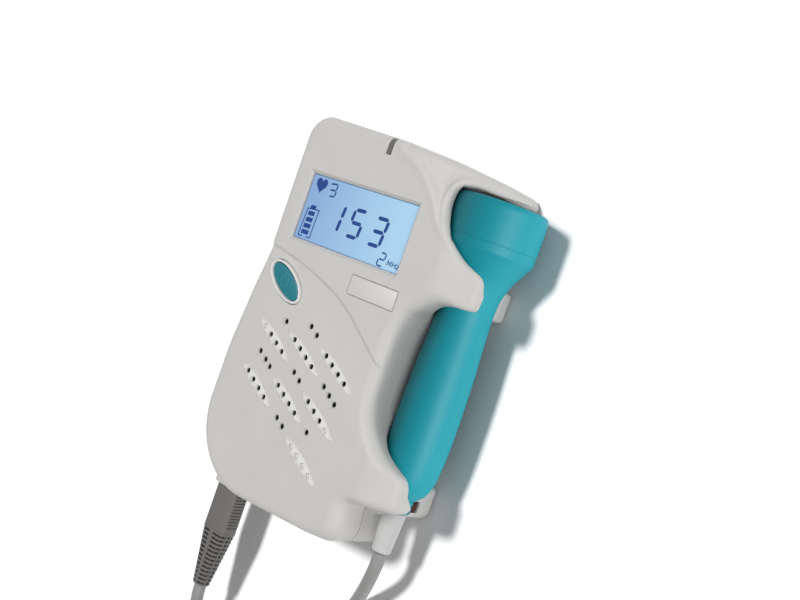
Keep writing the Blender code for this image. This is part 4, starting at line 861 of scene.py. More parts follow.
SCREEN_CENTRE = (-11.1, 36.4)
SCREEN_SIZE = (52.6, 24.2)
SCREEN_FLARE = 2.4
SLANT_DEPTH = 0.9
SLANT_RISE = 1.2
BUTTON_CENTRE = (-32.0535, 8.155)
BUTTON_SIZE = (18.4, 7.4)
BUTTON_TURN = math.radians(-29)
RING_SIZE = (21.2, 10.2)
PLATE_CENTRE = (8.65, 15.9)
PLATE_SIZE = (21.6, 6.6)
PLATE_SINK = 0.7
INDICATOR_X = -5.2
INDICATOR_WIDTH = 1.8
INDICATOR_LOW = 62.2
INDICATOR_DEPTH = 4.3
HOLE_TURN = math.radians(-27.6)
HOLE_PITCH = 4.4
HOLE_RADIUS = 0.95
HOLE_STEPS = 20
leaf_centres = (
    (-27.9, -12.4), (-11.9, -12.6), (4.6, -13.1), (-28.9, -29.9), (-12.3, -29.8), (3.8, -30.1),
    (3.2, -46.7),
)
# Which of a leaf's four holes are blind, by leaf
blind_holes = {0: (0,), 5: (3,), 6: (0, 1, 2, 3)}
loose_holes = (
    (-25.3, -5.0), (-13.1, -3.0), (-9.3, -5.1), (-32.8, -18.6), (-29.0, -20.6), (-25.9, -22.3),
    (-13.6, -20.2), (-10.0, -22.2), (1.9, -20.1), (5.5, -22.1), (9.0, -24.1), (-14.2, -37.4),
    (-10.5, -39.3), (1.3, -37.0),
)
LEAF_LENGTH = 22.9
LEAF_WIDTH = 3.6
LEAF_HEIGHT = 0.9
LEAF_MIDDLE = 0.68
LEAF_STEPS = 32
LEAF_LIFT = 0.02
LEAF_FOOT = 0.8
BLIND_DEPTH = 0.75
CASE_EXTRA_DEPTH = 0.15
LOOSE_SINK = -0.1
# How far below the face, and above it, the cutters of its openings reach
CUT_DEPTH = 8.0
CUT_RISE = 3.0


def leaf_hole_centres(leaf):
    step = (math.cos(HOLE_TURN) * HOLE_PITCH, math.sin(HOLE_TURN) * HOLE_PITCH)
    x, y = leaf_centres[leaf]
    return [(x + step[0] * (k - 1.5), y + step[1] * (k - 1.5)) for k in range(4)]


def speaker_holes():
    """Each hole's centre, whether it lies on a leaf, and whether it is blind."""
    made = []
    for leaf in range(len(leaf_centres)):
        for k, spot in enumerate(leaf_hole_centres(leaf)):
            made.append((spot, True, k in blind_holes.get(leaf, ())))
    return made + [(spot, False, False) for spot in loose_holes]


def read(table, x, y):
    return float(table(np.array([x]), np.array([y]))[0])


# Across a leaf: the place as a share of its half width, and the height as a share
leaf_section_shares = (
    (-1.0, 0.0), (-0.99, 0.5), (-0.95, 0.8), (-0.86, 0.97), (-0.7, 1.0), (-0.4, 0.93),
    (0.0, 0.76), (0.4, 0.52), (0.7, 0.3), (0.9, 0.12), (1.0, 0.0),
)


def leaf_mesh(leaf, top_table):
    """A raised leaf: pointed at both ends, steep on its lower side, its foot sunk in the face."""
    x0, y0 = leaf_centres[leaf]
    c, s = math.cos(HOLE_TURN), math.sin(HOLE_TURN)
    rings = []
    for k in range(LEAF_STEPS + 1):
        t = -1 + 2 * k / LEAF_STEPS
        half = LEAF_WIDTH / 2 * max(1 - abs(t) ** 2.1, 0.02) ** 0.8
        u = t * LEAF_LENGTH / 2
        rise = LEAF_HEIGHT * min(1, (1 - abs(t)) * 5) ** 0.7
        levels = [(v, rise * share + LEAF_LIFT) for v, share in leaf_section_shares]
        ring = []
        for v, level in levels + [(1.0, -LEAF_FOOT), (-1.0, -LEAF_FOOT)]:
            x, y = x0 + u * c - v * half * s, y0 + u * s + v * half * c
            ring.append((x, y, read(top_table, x, y) + level))
        rings.append(ring)
    return loft(rings, "leaf")


def funnel(x, y, top, deep, name):
    """A round hole's cutter with a small chamfer at its mouth."""
    profile = (
        (0, deep), (HOLE_RADIUS, deep), (HOLE_RADIUS, top - 0.3), (HOLE_RADIUS + 0.35, top + 0.05),
        (HOLE_RADIUS + 0.9, top + 2), (0, top + 2),
    )
    return turned(profile, (x, y), name, "Z", HOLE_STEPS)


def joined(meshes, name):
    """Separate closed meshes kept in one."""
    bm = bmesh.new()
    for data in meshes:
        bm.from_mesh(data)
    return finish_bmesh(bm, name)


def frustum(centre, low_size, high_size, low, high, name):
    rings = []
    for size, z in ((low_size, low), (high_size, high)):
        u, v = size[0] / 2, size[1] / 2
        x, y = centre
        rings.append([(x - u, y - v, z), (x + u, y - v, z), (x + u, y + v, z), (x - u, y + v, z)])
    return loft(rings, name)


def window_cutters():
    """The display's opening, and the slant round its upper edge."""
    through = frustum(SCREEN_CENTRE, SCREEN_SIZE, SCREEN_SIZE, FACE - CUT_DEPTH,
                      FACE + CUT_RISE, "window_hole")
    wide = [size + 2 * SCREEN_FLARE for size in SCREEN_SIZE]
    low, high = FACE - SLANT_DEPTH, FACE + SLANT_RISE
    flare = frustum(SCREEN_CENTRE, SCREEN_SIZE, wide, low, high, "window_flare")
    return [through, flare]


def build_front(channel):
    field = CaseField(front_outline_shares, front_pocket_shares, front_scoop_shares, True, channel)
    low = PARTING + PARTING_GAP
    made = case_half(field, low - NET_MARGIN, FACE + 1.0, low, FACE + OVERRUN, "front_case")
    leaves = joined([leaf_mesh(i, field.height) for i in range(len(leaf_centres))], "leaves")
    cutters = window_cutters()
    cutters.append(prism(ellipse(BUTTON_CENTRE, RING_SIZE[0] + 2 * GAP, RING_SIZE[1] + 2 * GAP,
                                 BUTTON_TURN), FACE - CUT_DEPTH, FACE + CUT_RISE, "ring_hole"))
    u, v = PLATE_SIZE[0] / 2 + GAP, PLATE_SIZE[1] / 2 + GAP
    x, y = PLATE_CENTRE
    cutters.append(soft_box((x - u, y - v, FACE - PLATE_SINK), (x + u, y + v, FACE + 2), 0.5,
                            "plate_hole"))
    half = INDICATOR_WIDTH / 2 + GAP
    cutters.append(box_mesh((INDICATOR_X - half, INDICATOR_LOW - GAP, FACE - INDICATOR_DEPTH),
                            (INDICATOR_X + half, HALF_LENGTH + 3, FACE + CUT_RISE),
                            "indicator_hole"))
    through, blind, deeper = [], [], []
    for (x, y), on_leaf, closed in speaker_holes():
        top = read(field.height, x, y) + (LEAF_MIDDLE if on_leaf else LOOSE_SINK)
        if closed:
            blind.append(funnel(x, y, top, top - BLIND_DEPTH, "leaf_hole"))
            deeper.append(funnel(x, y, top, top - BLIND_DEPTH - CASE_EXTRA_DEPTH, "case_hole"))
        else:
            through.append(funnel(x, y, top, FACE - CUT_DEPTH, "hole"))
    made = cut(made, cutters + [joined(through + deeper, "case_holes")])
    leaves = cut(leaves, [joined(through + blind, "leaf_holes")])
    piece("grille_leaves", leaves, LEAF_PAINTED_LIGHT, "unit", ())
    build_hole_shade(field.height)
    return piece("front_case", made, CASE, "unit", ("front_shell",))


# The sheet of painted shade behind the speaker holes, and the pegs that carry it up into them
SHADE_SHEET_CENTRE = (-12.5, -28.0)
SHADE_SHEET_RADIUS = 22.0
SHADE_SHEET_LEVELS = (32.72, 32.95)
PEG_RADIUS = 0.9
PEG_DEPTH = 0.75
LEAF_PEG_DEPTH = 1.0


def build_hole_shade(height):
    """A near-black sheet behind the speaker's holes, pressed a little way into each: painted shade for
    the dark depths of the holes.
    """
    disc = rod(SHADE_SHEET_CENTRE, SHADE_SHEET_RADIUS, *SHADE_SHEET_LEVELS, "disc")
    pegs = []
    for (x, y), on_leaf, closed in speaker_holes():
        if not closed:
            top = read(height, x, y) + (LEAF_MIDDLE - LEAF_PEG_DEPTH if on_leaf else -PEG_DEPTH)
            pegs.append(rod((x, y), PEG_RADIUS, SHADE_SHEET_LEVELS[0] + 0.1, top, "peg", sides=16))
    data = cut(disc, [joined(pegs, "pegs")], "UNION")
    piece("grille_hole_shade", data, SHADE_SHEET_BLACK, "unit", ())


SCREW_PLACES = ((-40.5, 60.0), (11.5, 61.0), (-42.0, -27.0), (17.5, -56.0))
SCREW_TUBE_RADIUS = 3.8
SCREW_WELL_RADIUS = 2.8
SCREW_HOLE_RADIUS = 1.7
SCREW_WELL_TOP = 15.8
# Each jack's mouth radius, its bore and its pin
JACKS = {"audio_jack": (3.4, 1.8, 0.0), "charger_jack": (4.2, 2.8, 0.9)}
JACK_LEVEL = 12.0


def jack_bores():
    made = []
    for name, (radius, _, _) in JACKS.items():
        low, high = span(name)
        centre = ((low.x + high.x) / 2, 0, JACK_LEVEL)
        mouth = high.y
        profile = (
            (0, mouth - 4), (radius + GAP, mouth - 4), (radius + GAP, mouth - 0.6),
            (radius + GAP + 0.5, mouth + 0.2), (radius + GAP + 1.5, mouth + 3), (0, mouth + 3),
        )
        made.append(turned(profile, centre, name + "_hole", "Y", 40))
    return made


def section(half_width, half_height, corner, steps=6):
    """A rounded rectangle about the origin."""
    made = []
    for quarter, (u, v) in enumerate(((1, 1), (-1, 1), (-1, -1), (1, -1))):
        for k in range(steps + 1):
            a = math.pi / 2 * (quarter + k / steps)
            made.append(
                (
                    u * (half_width - corner) + corner * math.cos(a),
                    v * (half_height - corner) + corner * math.sin(a),
                )
            )
    return made


PLUG_CENTRE = (-41.7, 15.5)
PLUG_HALF = (6.25, 4.0, 2.5)
COLLAR_GROW = 1.6


def plug_ring(y, extra=0.0, half=PLUG_HALF, steps=6):
    sizes = (half[0] + extra, half[1] + extra, half[2] + extra)
    x, z = PLUG_CENTRE
    return [(x + u, y, z + v) for u, v in section(*sizes, steps)]


def build_rear(channel):
    field = CaseField(rear_outline_shares, rear_pocket_shares, rear_scoop_shares, False, channel)
    made = case_half(field, -1.2, PARTING + NET_MARGIN, -OVERRUN, PARTING, "rear_case")
    tubes = [rod(place, SCREW_TUBE_RADIUS, 1.0, PARTING - 0.2, "tube") for place in SCREW_PLACES]
    made = cut(made, tubes, "UNION")
    profile = (
        (0, -3), (SCREW_TUBE_RADIUS, -3), (3.4, -0.1), (SCREW_WELL_RADIUS, 0.5),
        (SCREW_WELL_RADIUS, SCREW_WELL_TOP), (SCREW_HOLE_RADIUS, SCREW_WELL_TOP),
        (SCREW_HOLE_RADIUS, PARTING + 2), (0, PARTING + 2),
    )
    wells = [turned(profile, place, "well", "Z", 40) for place in SCREW_PLACES]
    door_low, door_high = span("battery_door")
    door = box_mesh((door_low.x - GAP, -HALF_LENGTH - 3, -3),
                    (door_high.x + GAP, door_high.y + GAP, door_high.z + GAP), "door_hole")
    wheel_low, wheel_high = span("volume_wheel")
    centre = ((wheel_low.x + wheel_high.x) / 2, (wheel_low.y + wheel_high.y) / 2)
    radius = (wheel_high.x - wheel_low.x) / 2 + GAP
    wheel = rod(centre, radius, wheel_low.z - GAP, wheel_high.z + GAP, "wheel_hole", sides=64)
    low, high = span("dock_bumper")
    bumper = box_mesh([c - GAP for c in low], [c + GAP for c in high], "bumper_hole")
    top = span("socket_collar")[1].y + GAP
    rings = [plug_ring(y, COLLAR_GROW + GAP) for y in (-HALF_LENGTH - 3, top)]
    collar = loft(rings, "collar_hole")
    made = cut(made, wells + [door, wheel, bumper, collar] + jack_bores())
    return piece("rear_case", made, CASE, "unit", ("rear_shell",))


# Points of the lead's free stretches, the same as the CAD's, in metres
probe_run_points = (
    (0.0350, -0.0654, 0.0170), (0.0347, -0.0700, 0.0165), (0.0330, -0.0750, 0.0148),
    (0.0298, -0.0808, 0.0115), (0.0258, -0.0868, 0.0076), (0.0222, -0.0925, 0.0046),
    (0.0198, -0.0990, 0.0032), (0.0186, -0.1070, 0.0030), (0.0181, -0.1160, 0.0034),
    (0.0180, -0.1250, 0.0046), (0.0180, -0.1340, 0.0066), (0.0180, -0.1400, 0.0078),
    (0.0180, -0.1445, 0.00830),
)
plug_run_points = (
    (-0.0417, -0.1138, 0.0155), (-0.0417, -0.1185, 0.0151), (-0.0421, -0.1235, 0.0135),
    (-0.0428, -0.1290, 0.0103), (-0.0435, -0.1345, 0.0066), (-0.0439, -0.1400, 0.0040),
    (-0.0440, -0.1445, 0.00320),
)
CORD_DIAMETER = 0.0047
COIL_CENTRE = (-0.013, -0.150)
COIL_OUTER_RADIUS = 0.031
COIL_PITCH = 0.0052
COIL_RISE = 0.0052
COIL_TURNS = 5.5
COIL_STEPS = 36
COIL_FLOOR = 0.0008
CORD_SIDES = 20


def coil_point(turns):
    """A point of the coil: it spirals in to its middle turn, then out again a layer higher."""
    angle = math.pi + math.tau * turns
    middle = COIL_TURNS / 2
    radius = COIL_OUTER_RADIUS - COIL_PITCH * (middle - abs(turns - middle))
    climb = float(smoothstep((turns - middle) * 2 + 0.5))
    return (
        COIL_CENTRE[0] + radius * math.cos(angle),
        COIL_CENTRE[1] + radius * math.sin(angle),
        COIL_FLOOR + CORD_DIAMETER / 2 + COIL_RISE * climb,
    )


def coil_points():
    count = round(COIL_TURNS * COIL_STEPS)
    return [coil_point(COIL_TURNS * k / count) for k in range(count + 1)]


def tube_mesh(points, name):
    """The cord's round body along metre points, with a frame that doesn't twist."""
    path = [Vector(p) for p in points]
    rings = []
    normal = None
    for i, spot in enumerate(path):
        ahead = path[min(i + 1, len(path) - 1)] - path[max(i - 1, 0)]
        ahead.normalize()
        if normal is None:
            normal = ahead.orthogonal().normalized()
        normal = (normal - ahead * normal.dot(ahead)).normalized()
        side = ahead.cross(normal)
        ring = []
        for k in range(CORD_SIDES):
            a = math.tau * k / CORD_SIDES
            spoke = (normal * math.cos(a) + side * math.sin(a)) * (CORD_DIAMETER / 2)
            ring.append((spot + spoke) / MM)
        rings.append(ring)
    return loft(rings, name)


def build_cords():
    coil = coil_points()[::-1]
    run = [tuple(p) for p in spline(probe_run_points, 3)]
    probe_path = run + coil
    plug_path = [tuple(p) for p in spline(plug_run_points, 4)] + [coil[-1]]
    data = tube_mesh(probe_path, "probe_lead")
    lead = piece("probe_lead", data, CORD, None, ("cord_probe_run", "cord_coil"))
    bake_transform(lead)
    data = tube_mesh(plug_path, "plug_lead")
    tail = piece("plug_lead", data, CORD, None, ("cord_plug_run",))
    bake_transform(tail)
    tie = build_tie()


TIE_ANGLE = math.radians(-75)
TIE_WIDTH = 5.0
TIE_THICKNESS = 0.5
TIE_CORNER = 2.4
# Across the band: the place as a share of its width, and how much its edge is worn down
TIE_EDGES = ((-0.5, 0.12), (-0.42, 0.0), (0.42, 0.0), (0.5, 0.12))


def build_tie():
    """A flat band round the coil's turns."""
    low, high = span("cord_tie")
    inner = (COIL_OUTER_RADIUS - COIL_PITCH * COIL_TURNS / 2 - CORD_DIAMETER / 2) / MM - GAP
    outer = (COIL_OUTER_RADIUS + CORD_DIAMETER / 2) / MM + GAP
    half = ((outer - inner) / 2 + TIE_THICKNESS, high.z / 2)
    centre = Vector((COIL_CENTRE[0] / MM, COIL_CENTRE[1] / MM, 0))
    out = Vector((math.cos(TIE_ANGLE), math.sin(TIE_ANGLE), 0))
    side = Vector((-out.y, out.x, 0))
    middle = (inner + outer) / 2
    edges = [(share * TIE_WIDTH, less) for share, less in TIE_EDGES]
    outside = [(across, -less) for across, less in edges]
    inside = [(across, less - TIE_THICKNESS) for across, less in edges[::-1]]
    rings = []
    for across, grow in outside + inside:
        ring = []
        for u, v in section(half[0] + grow, half[1] + grow, TIE_CORNER + grow, 6):
            rise = Vector((0, 0, half[1] + v))
            ring.append(tuple(centre + out * (middle + u) + side * across + rise))
        rings.append(ring)
    data = loft(rings, "coil_tie", closed=True)
    return piece("coil_tie", data, TIE, "unit", ("cord_tie",))


def grip_profile():
    """The outline from the head's lower edge to the handle's end, one smooth curve."""
    points = [(HEAD_RADIUS * r, HALF_LENGTH * y) for y, r in cone_shares]
    points += [(NECK_RADIUS * r, HALF_LENGTH * y) for y, r in neck_shares]
    points += [(HANDLE_RADIUS * r, HALF_LENGTH * y) for y, r in handle_shares]
    return [tuple(p) for p in spline(points, 5)]


SEAM_Y = 44.38
RIM_SIZE = (1.6, 2.4)
RIM_STEPS = 8
HEAD_WALL = 1.8
SEAM_EDGE = 0.06
PROBE_BORE = 3.6
FACE_SEAT = 3.6
DOME_RISE = 0.6
DOME_STEPS = 8


def build_probe():
    centre = (AXIS_X, 0, AXIS_Z)
    head_end = head_shares[0][0] * HALF_LENGTH
    inner = HEAD_RADIUS - HEAD_WALL
    # Head cap: from its seam up to the rim round the face
    foot = SEAM_Y + 0.02
    profile = [(inner, foot), (HEAD_RADIUS - SEAM_EDGE, foot), (HEAD_RADIUS, foot + SEAM_EDGE)]
    for k in range(RIM_STEPS + 1):
        a = math.pi / 2 * k / RIM_STEPS
        rim = HEAD_RADIUS - RIM_SIZE[0] * (1 - math.cos(a))
        profile.append((rim, head_end - RIM_SIZE[1] * (1 - math.sin(a))))
    profile.append((inner, head_end - 0.15))
    data = turned(profile, centre, "head_cap", closed=True, sides=128)
    piece("head_cap", data, TEAL, "probe", ("probe_head_cap",))
    # Handle with the cone that carries the head
    smooth = grip_profile()
    corner = filleted([(HEAD_RADIUS, SEAM_Y - SEAM_EDGE), smooth[0], smooth[4]], (0, 1.6, 0), 6)
    end = smooth[-1][1]
    path = [(PROBE_BORE, SEAM_Y), (HEAD_RADIUS - SEAM_EDGE, SEAM_Y)] + corner + smooth[5:]
    path.append((PROBE_BORE, end))
    data = turned(path, centre, "probe_grip", closed=True, angles=seam_angles())
    groove(data, centre)
    piece("probe_grip", data, TEAL, "probe", ("probe_handle",))
    build_face(centre, head_end, inner)
    build_tail(centre, end)


GROOVE_DEPTH = 0.12
GROOVE_HALF = 0.011


def seam_angles():
    """Angles round the handle, closer together at the two mould lines."""
    made = []
    for side in (0.0, math.pi):
        made += [side - 2 * GROOVE_HALF, side - GROOVE_HALF, side, side + GROOVE_HALF]
        made += [side + 2 * GROOVE_HALF]
        made += [side + math.pi * k / 56 for k in range(1, 56)]
    made = sorted(a % math.tau for a in made)
    kept = [made[0]]
    for a in made[1:]:
        if a - kept[-1] > 0.008:
            kept.append(a)
    return kept


def groove(data, centre):
    """Presses the mould lines a little into the handle."""
    for vert in data.vertices:
        x, z = vert.co.x / MM - centre[0], vert.co.z / MM - centre[2]
        radius = math.hypot(x, z)
        angle = abs(math.atan2(z, abs(x)))
        if radius > 6 and angle < GROOVE_HALF * 0.6:
            share = (radius - GROOVE_DEPTH) / radius
            vert.co.x = (centre[0] + x * share) * MM
            vert.co.z = (centre[2] + z * share) * MM


def build_face(centre, head_end, inner):
    """The slightly domed face that touches the skin."""
    low = head_end - FACE_SEAT
    radius = inner - GAP
    path = [(0, low), (radius, low), (radius, head_end - DOME_RISE)]
    for k in range(1, DOME_STEPS + 1):
        r = radius * (1 - k / DOME_STEPS)
        path.append((r, head_end - DOME_RISE * (r / radius) ** 2))
    profile = filleted(path[:4], (0, 0.2, 0.3, 0), 4)[:-1] + path[3:]
    data = turned(profile, centre, "contact_face", sides=128)
    piece("contact_face", data, RESIN, "probe", ("probe_face",))


def build_tail(centre, end):
    """The stub below the handle, with two grooves, and the soft boot of the lead."""
    low, high = span("probe_tail")
    radius = (high.x - low.x) / 2
    path = [(PROBE_BORE, high.y), (radius - 0.3, high.y), (radius, high.y - 0.3)]
    for y in (high.y - 1.7, high.y - 3.5):
        path += [(radius, y), (radius - 0.45, y - 0.15), (radius - 0.45, y - 0.55), (radius, y - 0.7)]
    path += [(radius, low.y + 0.3), (radius - 0.3, low.y), (PROBE_BORE, low.y)]
    data = turned(path, centre, "lead_stub", closed=True, sides=96)
    piece("lead_stub", data, TEAL, "probe", ("probe_tail",))
    boot_low, boot_high = span("probe_boot")
    shoulder = low.y - GAP
    path = [(0, boot_high.y), (3.3, boot_high.y), (3.3, shoulder), (BOOT_RADIUS - 0.25, shoulder),
            (BOOT_RADIUS, shoulder - 0.4)]
    for k in range(1, 8):
        t = k / 8
        path.append((BOOT_RADIUS + (BOOT_TIP_RADIUS - BOOT_RADIUS) * t**1.1,
                     shoulder + (boot_low.y - shoulder) * t))
    path += [(BOOT_TIP_RADIUS + 0.02, boot_low.y + 0.45), (BOOT_TIP_RADIUS - 0.35, boot_low.y),
             (0, boot_low.y)]
    data = turned(path, centre, "lead_boot", sides=96)
    piece("lead_boot", data, BOOT, "probe", ("probe_boot",))


def build_button():
    levels = (
        (0.0, FACE - 2.2), (0.0, FACE + 0.1), (0.16, FACE + 0.45), (0.4, FACE + 0.65),
        (0.65, FACE + 0.65), (0.9, FACE + 0.45), (1.1, FACE + 0.1), (1.1, FACE - 2.2),
    )
    rings = []
    for inwards, z in levels:
        loop = ellipse(BUTTON_CENTRE, RING_SIZE[0] - 2 * inwards, RING_SIZE[1] - 2 * inwards,
                       BUTTON_TURN)
        rings.append([(x, y, z) for x, y in loop])
    data = loft(rings, "button_frame", closed=True)
    piece("button_frame", data, TRIM, "unit", ("button_ring",), ROUND_ANGLE)
    low, high = span("power_button")
    levels = [(1.0, low.z), (1.0, FACE - 0.2)]
    for k in range(1, 9):
        a = math.pi / 2 * k / 8
        levels.append((1 - 0.09 * (1 - math.cos(a)), FACE - 0.2 + 0.35 * math.sin(a)))
    levels += [(0.7, FACE + 0.3), (0.4, FACE + 0.4), (0.12, FACE + 0.44)]
    rings = []
    for share, z in levels:
        loop = ellipse(BUTTON_CENTRE, BUTTON_SIZE[0] * share, BUTTON_SIZE[1] * share, BUTTON_TURN)
        rings.append([(x, y, z) for x, y in loop])
    data = loft(rings, "power_key")
    piece("power_key", data, BUTTON_TEAL, "power_button", ("power_button",),
          ROUND_ANGLE)
    build_power_symbol(FACE + 0.42)


def stroke_mesh(strokes, low, high, name):
    """Flat bars along short lines, each a closed strip. A stroke is (points, width, closed)."""
    bm = bmesh.new()
    for points, width, closed in strokes:
        count = len(points)
        left, right = [], []
        for i, point in enumerate(points):
            before = Vector(points[i - 1]) if (i or closed) else None
            after = Vector(points[(i + 1) % count]) if (i < count - 1 or closed) else None
            here = Vector(point)
            into = (here - before).normalized() if before is not None else None
            outof = (after - here).normalized() if after is not None else None
            into, outof = into or outof, outof or into
            normal = Vector((-(into + outof).y, (into + outof).x)).normalized()
            reach = width / 2 / max(normal.dot(Vector((-into.y, into.x))), 0.4)
            left.append(here + normal * reach)
            right.append(here - normal * reach)
        rows = []
        for l, r in zip(left, right):
            rows.append(
                [
                    bm.verts.new((q.x * MM, q.y * MM, z * MM))
                    for q, z in ((l, low), (l, high), (r, high), (r, low))
                ]
            )
        pairs = list(zip(rows, rows[1:])) + ([(rows[-1], rows[0])] if closed else [])
        for a, b in pairs:
            for i in range(4):
                j = (i + 1) % 4
                bm.faces.new((a[i], a[j], b[j], b[i]))
        if not closed:
            bm.faces.new(rows[0])
            bm.faces.new(rows[-1])
    return finish_bmesh(bm, name)


def build_power_symbol(top):
    x, y = BUTTON_CENTRE
    arc = [
        (x + 1.9 * math.sin(a), y + 1.9 * math.cos(a))
        for a in (math.radians(32 + k * 296 / 24) for k in range(25))
    ]
    strokes = [(arc, 0.45, False), ([(x, y + 0.4), (x, y + 2.6)], 0.45, False)]
    data = stroke_mesh(strokes, top - 0.12, top + 0.1, "power_symbol")
    piece("power_symbol", data, SYMBOL_TEAL, "power_button", ())


def bar(start, end, width, gap):
    """A six-sided display segment between two corners of a digit."""
    a, b = Vector(start), Vector(end)
    along = (b - a).normalized()
    across = Vector((-along.y, along.x)) * width / 2
    a, b = a + along * gap, b - along * gap
    tip = along * width * 0.5
    return [tuple(p) for p in (a, a + tip + across, b - tip + across, b, b - tip - across,
                               a + tip - across)]


def digit(corners, which, width, gap):
    """A digit's segments. The corners are top, middle and bottom, left then right."""
    tl, tr, ml, mr, bl, br = corners
    ends = {"a": (tl, tr), "b": (tr, mr), "c": (mr, br), "d": (br, bl), "e": (bl, ml),
            "f": (ml, tl), "g": (ml, mr)}
    return [bar(*ends[key], width, gap) for key in which]


def heart(centre, width, height, steps=40):
    made = []
    for k in range(steps):
        a = math.tau * k / steps
        u = math.sin(a) ** 3
        v = (13 * math.cos(a) - 5 * math.cos(2 * a) - 2 * math.cos(3 * a) - math.cos(4 * a)) / 16
        made.append((centre[0] + u * width / 2, centre[1] + (v + 0.15) * height / 2))
    return made


LCD_LEVELS = (33.5 - 0.02, 33.5 + 0.04)


def build_display():
    nodes["display_window"].data.materials.clear()
    nodes["display_window"].data.materials.append(
        screen_material("lit_screen", (SCREEN_CENTRE[0] - SCREEN_SIZE[0] / 2) * MM,
                        (SCREEN_CENTRE[0] + SCREEN_SIZE[0] / 2) * MM)
    )
    x, y = SCREEN_CENTRE

    def at(points):
        return [(x + u, y + v) for u, v in points]

    plates = []
    plates += digit(at([(-6.2, 4.3), (-6.0, 4.3), (-6.7, -0.5), (-6.5, -0.5), (-7.2, -5.5),
                        (-6.95, -5.5)]), "bc", 1.4, 0.2)
    plates += digit(at([(-1.1, 4.2), (4.3, 4.5), (-1.45, -0.4), (3.8, -0.35), (-2.0, -5.4),
                        (3.35, -5.3)]), "acdfg", 1.35, 0.22)
    plates += digit(at([(9.7, 4.0), (15.3, 4.1), (9.4, -0.7), (14.8, -0.6), (8.9, -5.5),
                        (14.3, -5.4)]), "abcdg", 1.35, 0.22)
    plates += digit(at([(-16.9, 10.1), (-13.3, 10.6), (-16.5, 8.0), (-13.3, 8.2), (-15.9, 5.8),
                        (-13.2, 6.0)]), "abcdg", 0.62, 0.15)
    plates += digit(at([(16.5, -6.7), (19.1, -6.8), (16.2, -9.0), (18.9, -9.0), (15.9, -11.2),
                        (18.6, -11.3)]), "abdeg", 0.55, 0.12)
    plates.append(at(heart((-21.2, 8.3), 5.6, 6.2)))
    plates.append(at([(-22.9, -0.5), (-20.2, -0.25), (-20.1, 0.95), (-22.8, 0.75)]))
    for k in range(4):
        top = -1.35 - 2.33 * k
        left, right = -23.05 - 0.13 * k, -19.85 + 0.02 * k
        plates.append(at([(left, top - 1.7), (right, top - 1.6), (right, top), (left, top - 0.1)]))
    data = joined([prism(loop, *LCD_LEVELS, "mark") for loop in plates], "lcd_marks")
    piece("lcd_marks", data, SEGMENT, "unit", (), MARK_ANGLE)
    lines = [
        (at([(-22.3, -10.9), (-24.5, -10.9), (-23.95, -0.7), (-18.2, -0.3), (-18.4, -10.7),
             (-20.4, -10.8)]), 0.42, False),
        (at([(20.4, -10.3), (20.8, -8.5), (21.5, -9.8), (22.3, -8.5), (22.2, -10.3)]), 0.32, False),
        (at([(22.9, -10.3), (23.1, -8.5)]), 0.32, False),
        (at([(24.3, -10.3), (24.5, -8.5)]), 0.32, False),
        (at([(22.95, -9.4), (24.35, -9.4)]), 0.32, False),
        (at([(24.95, -9.1), (26.0, -9.1), (24.85, -10.3), (26.0, -10.3)]), 0.3, False),
    ]
    data = stroke_mesh(lines, *LCD_LEVELS, "lcd_lines")
    piece("lcd_lines", data, SEGMENT, "unit", (), MARK_ANGLE)


def build_plate():
    low, high = span("name_plate")
    data = soft_box(low, high, 0.12, "badge_blank", 2)
    piece("badge_blank", data, BADGE, "unit", ("name_plate",))


RIB_COUNT = 12
RIB_START = 2.5
RIB_PITCH = 1.25
BODY_STEPS = 30
RELIEF_TIP = (3.2, 3.2, 3.13)
RELIEF_ROWS = 13
SLOT_HALF = 0.42
SLOT_DEPTH = 1.6


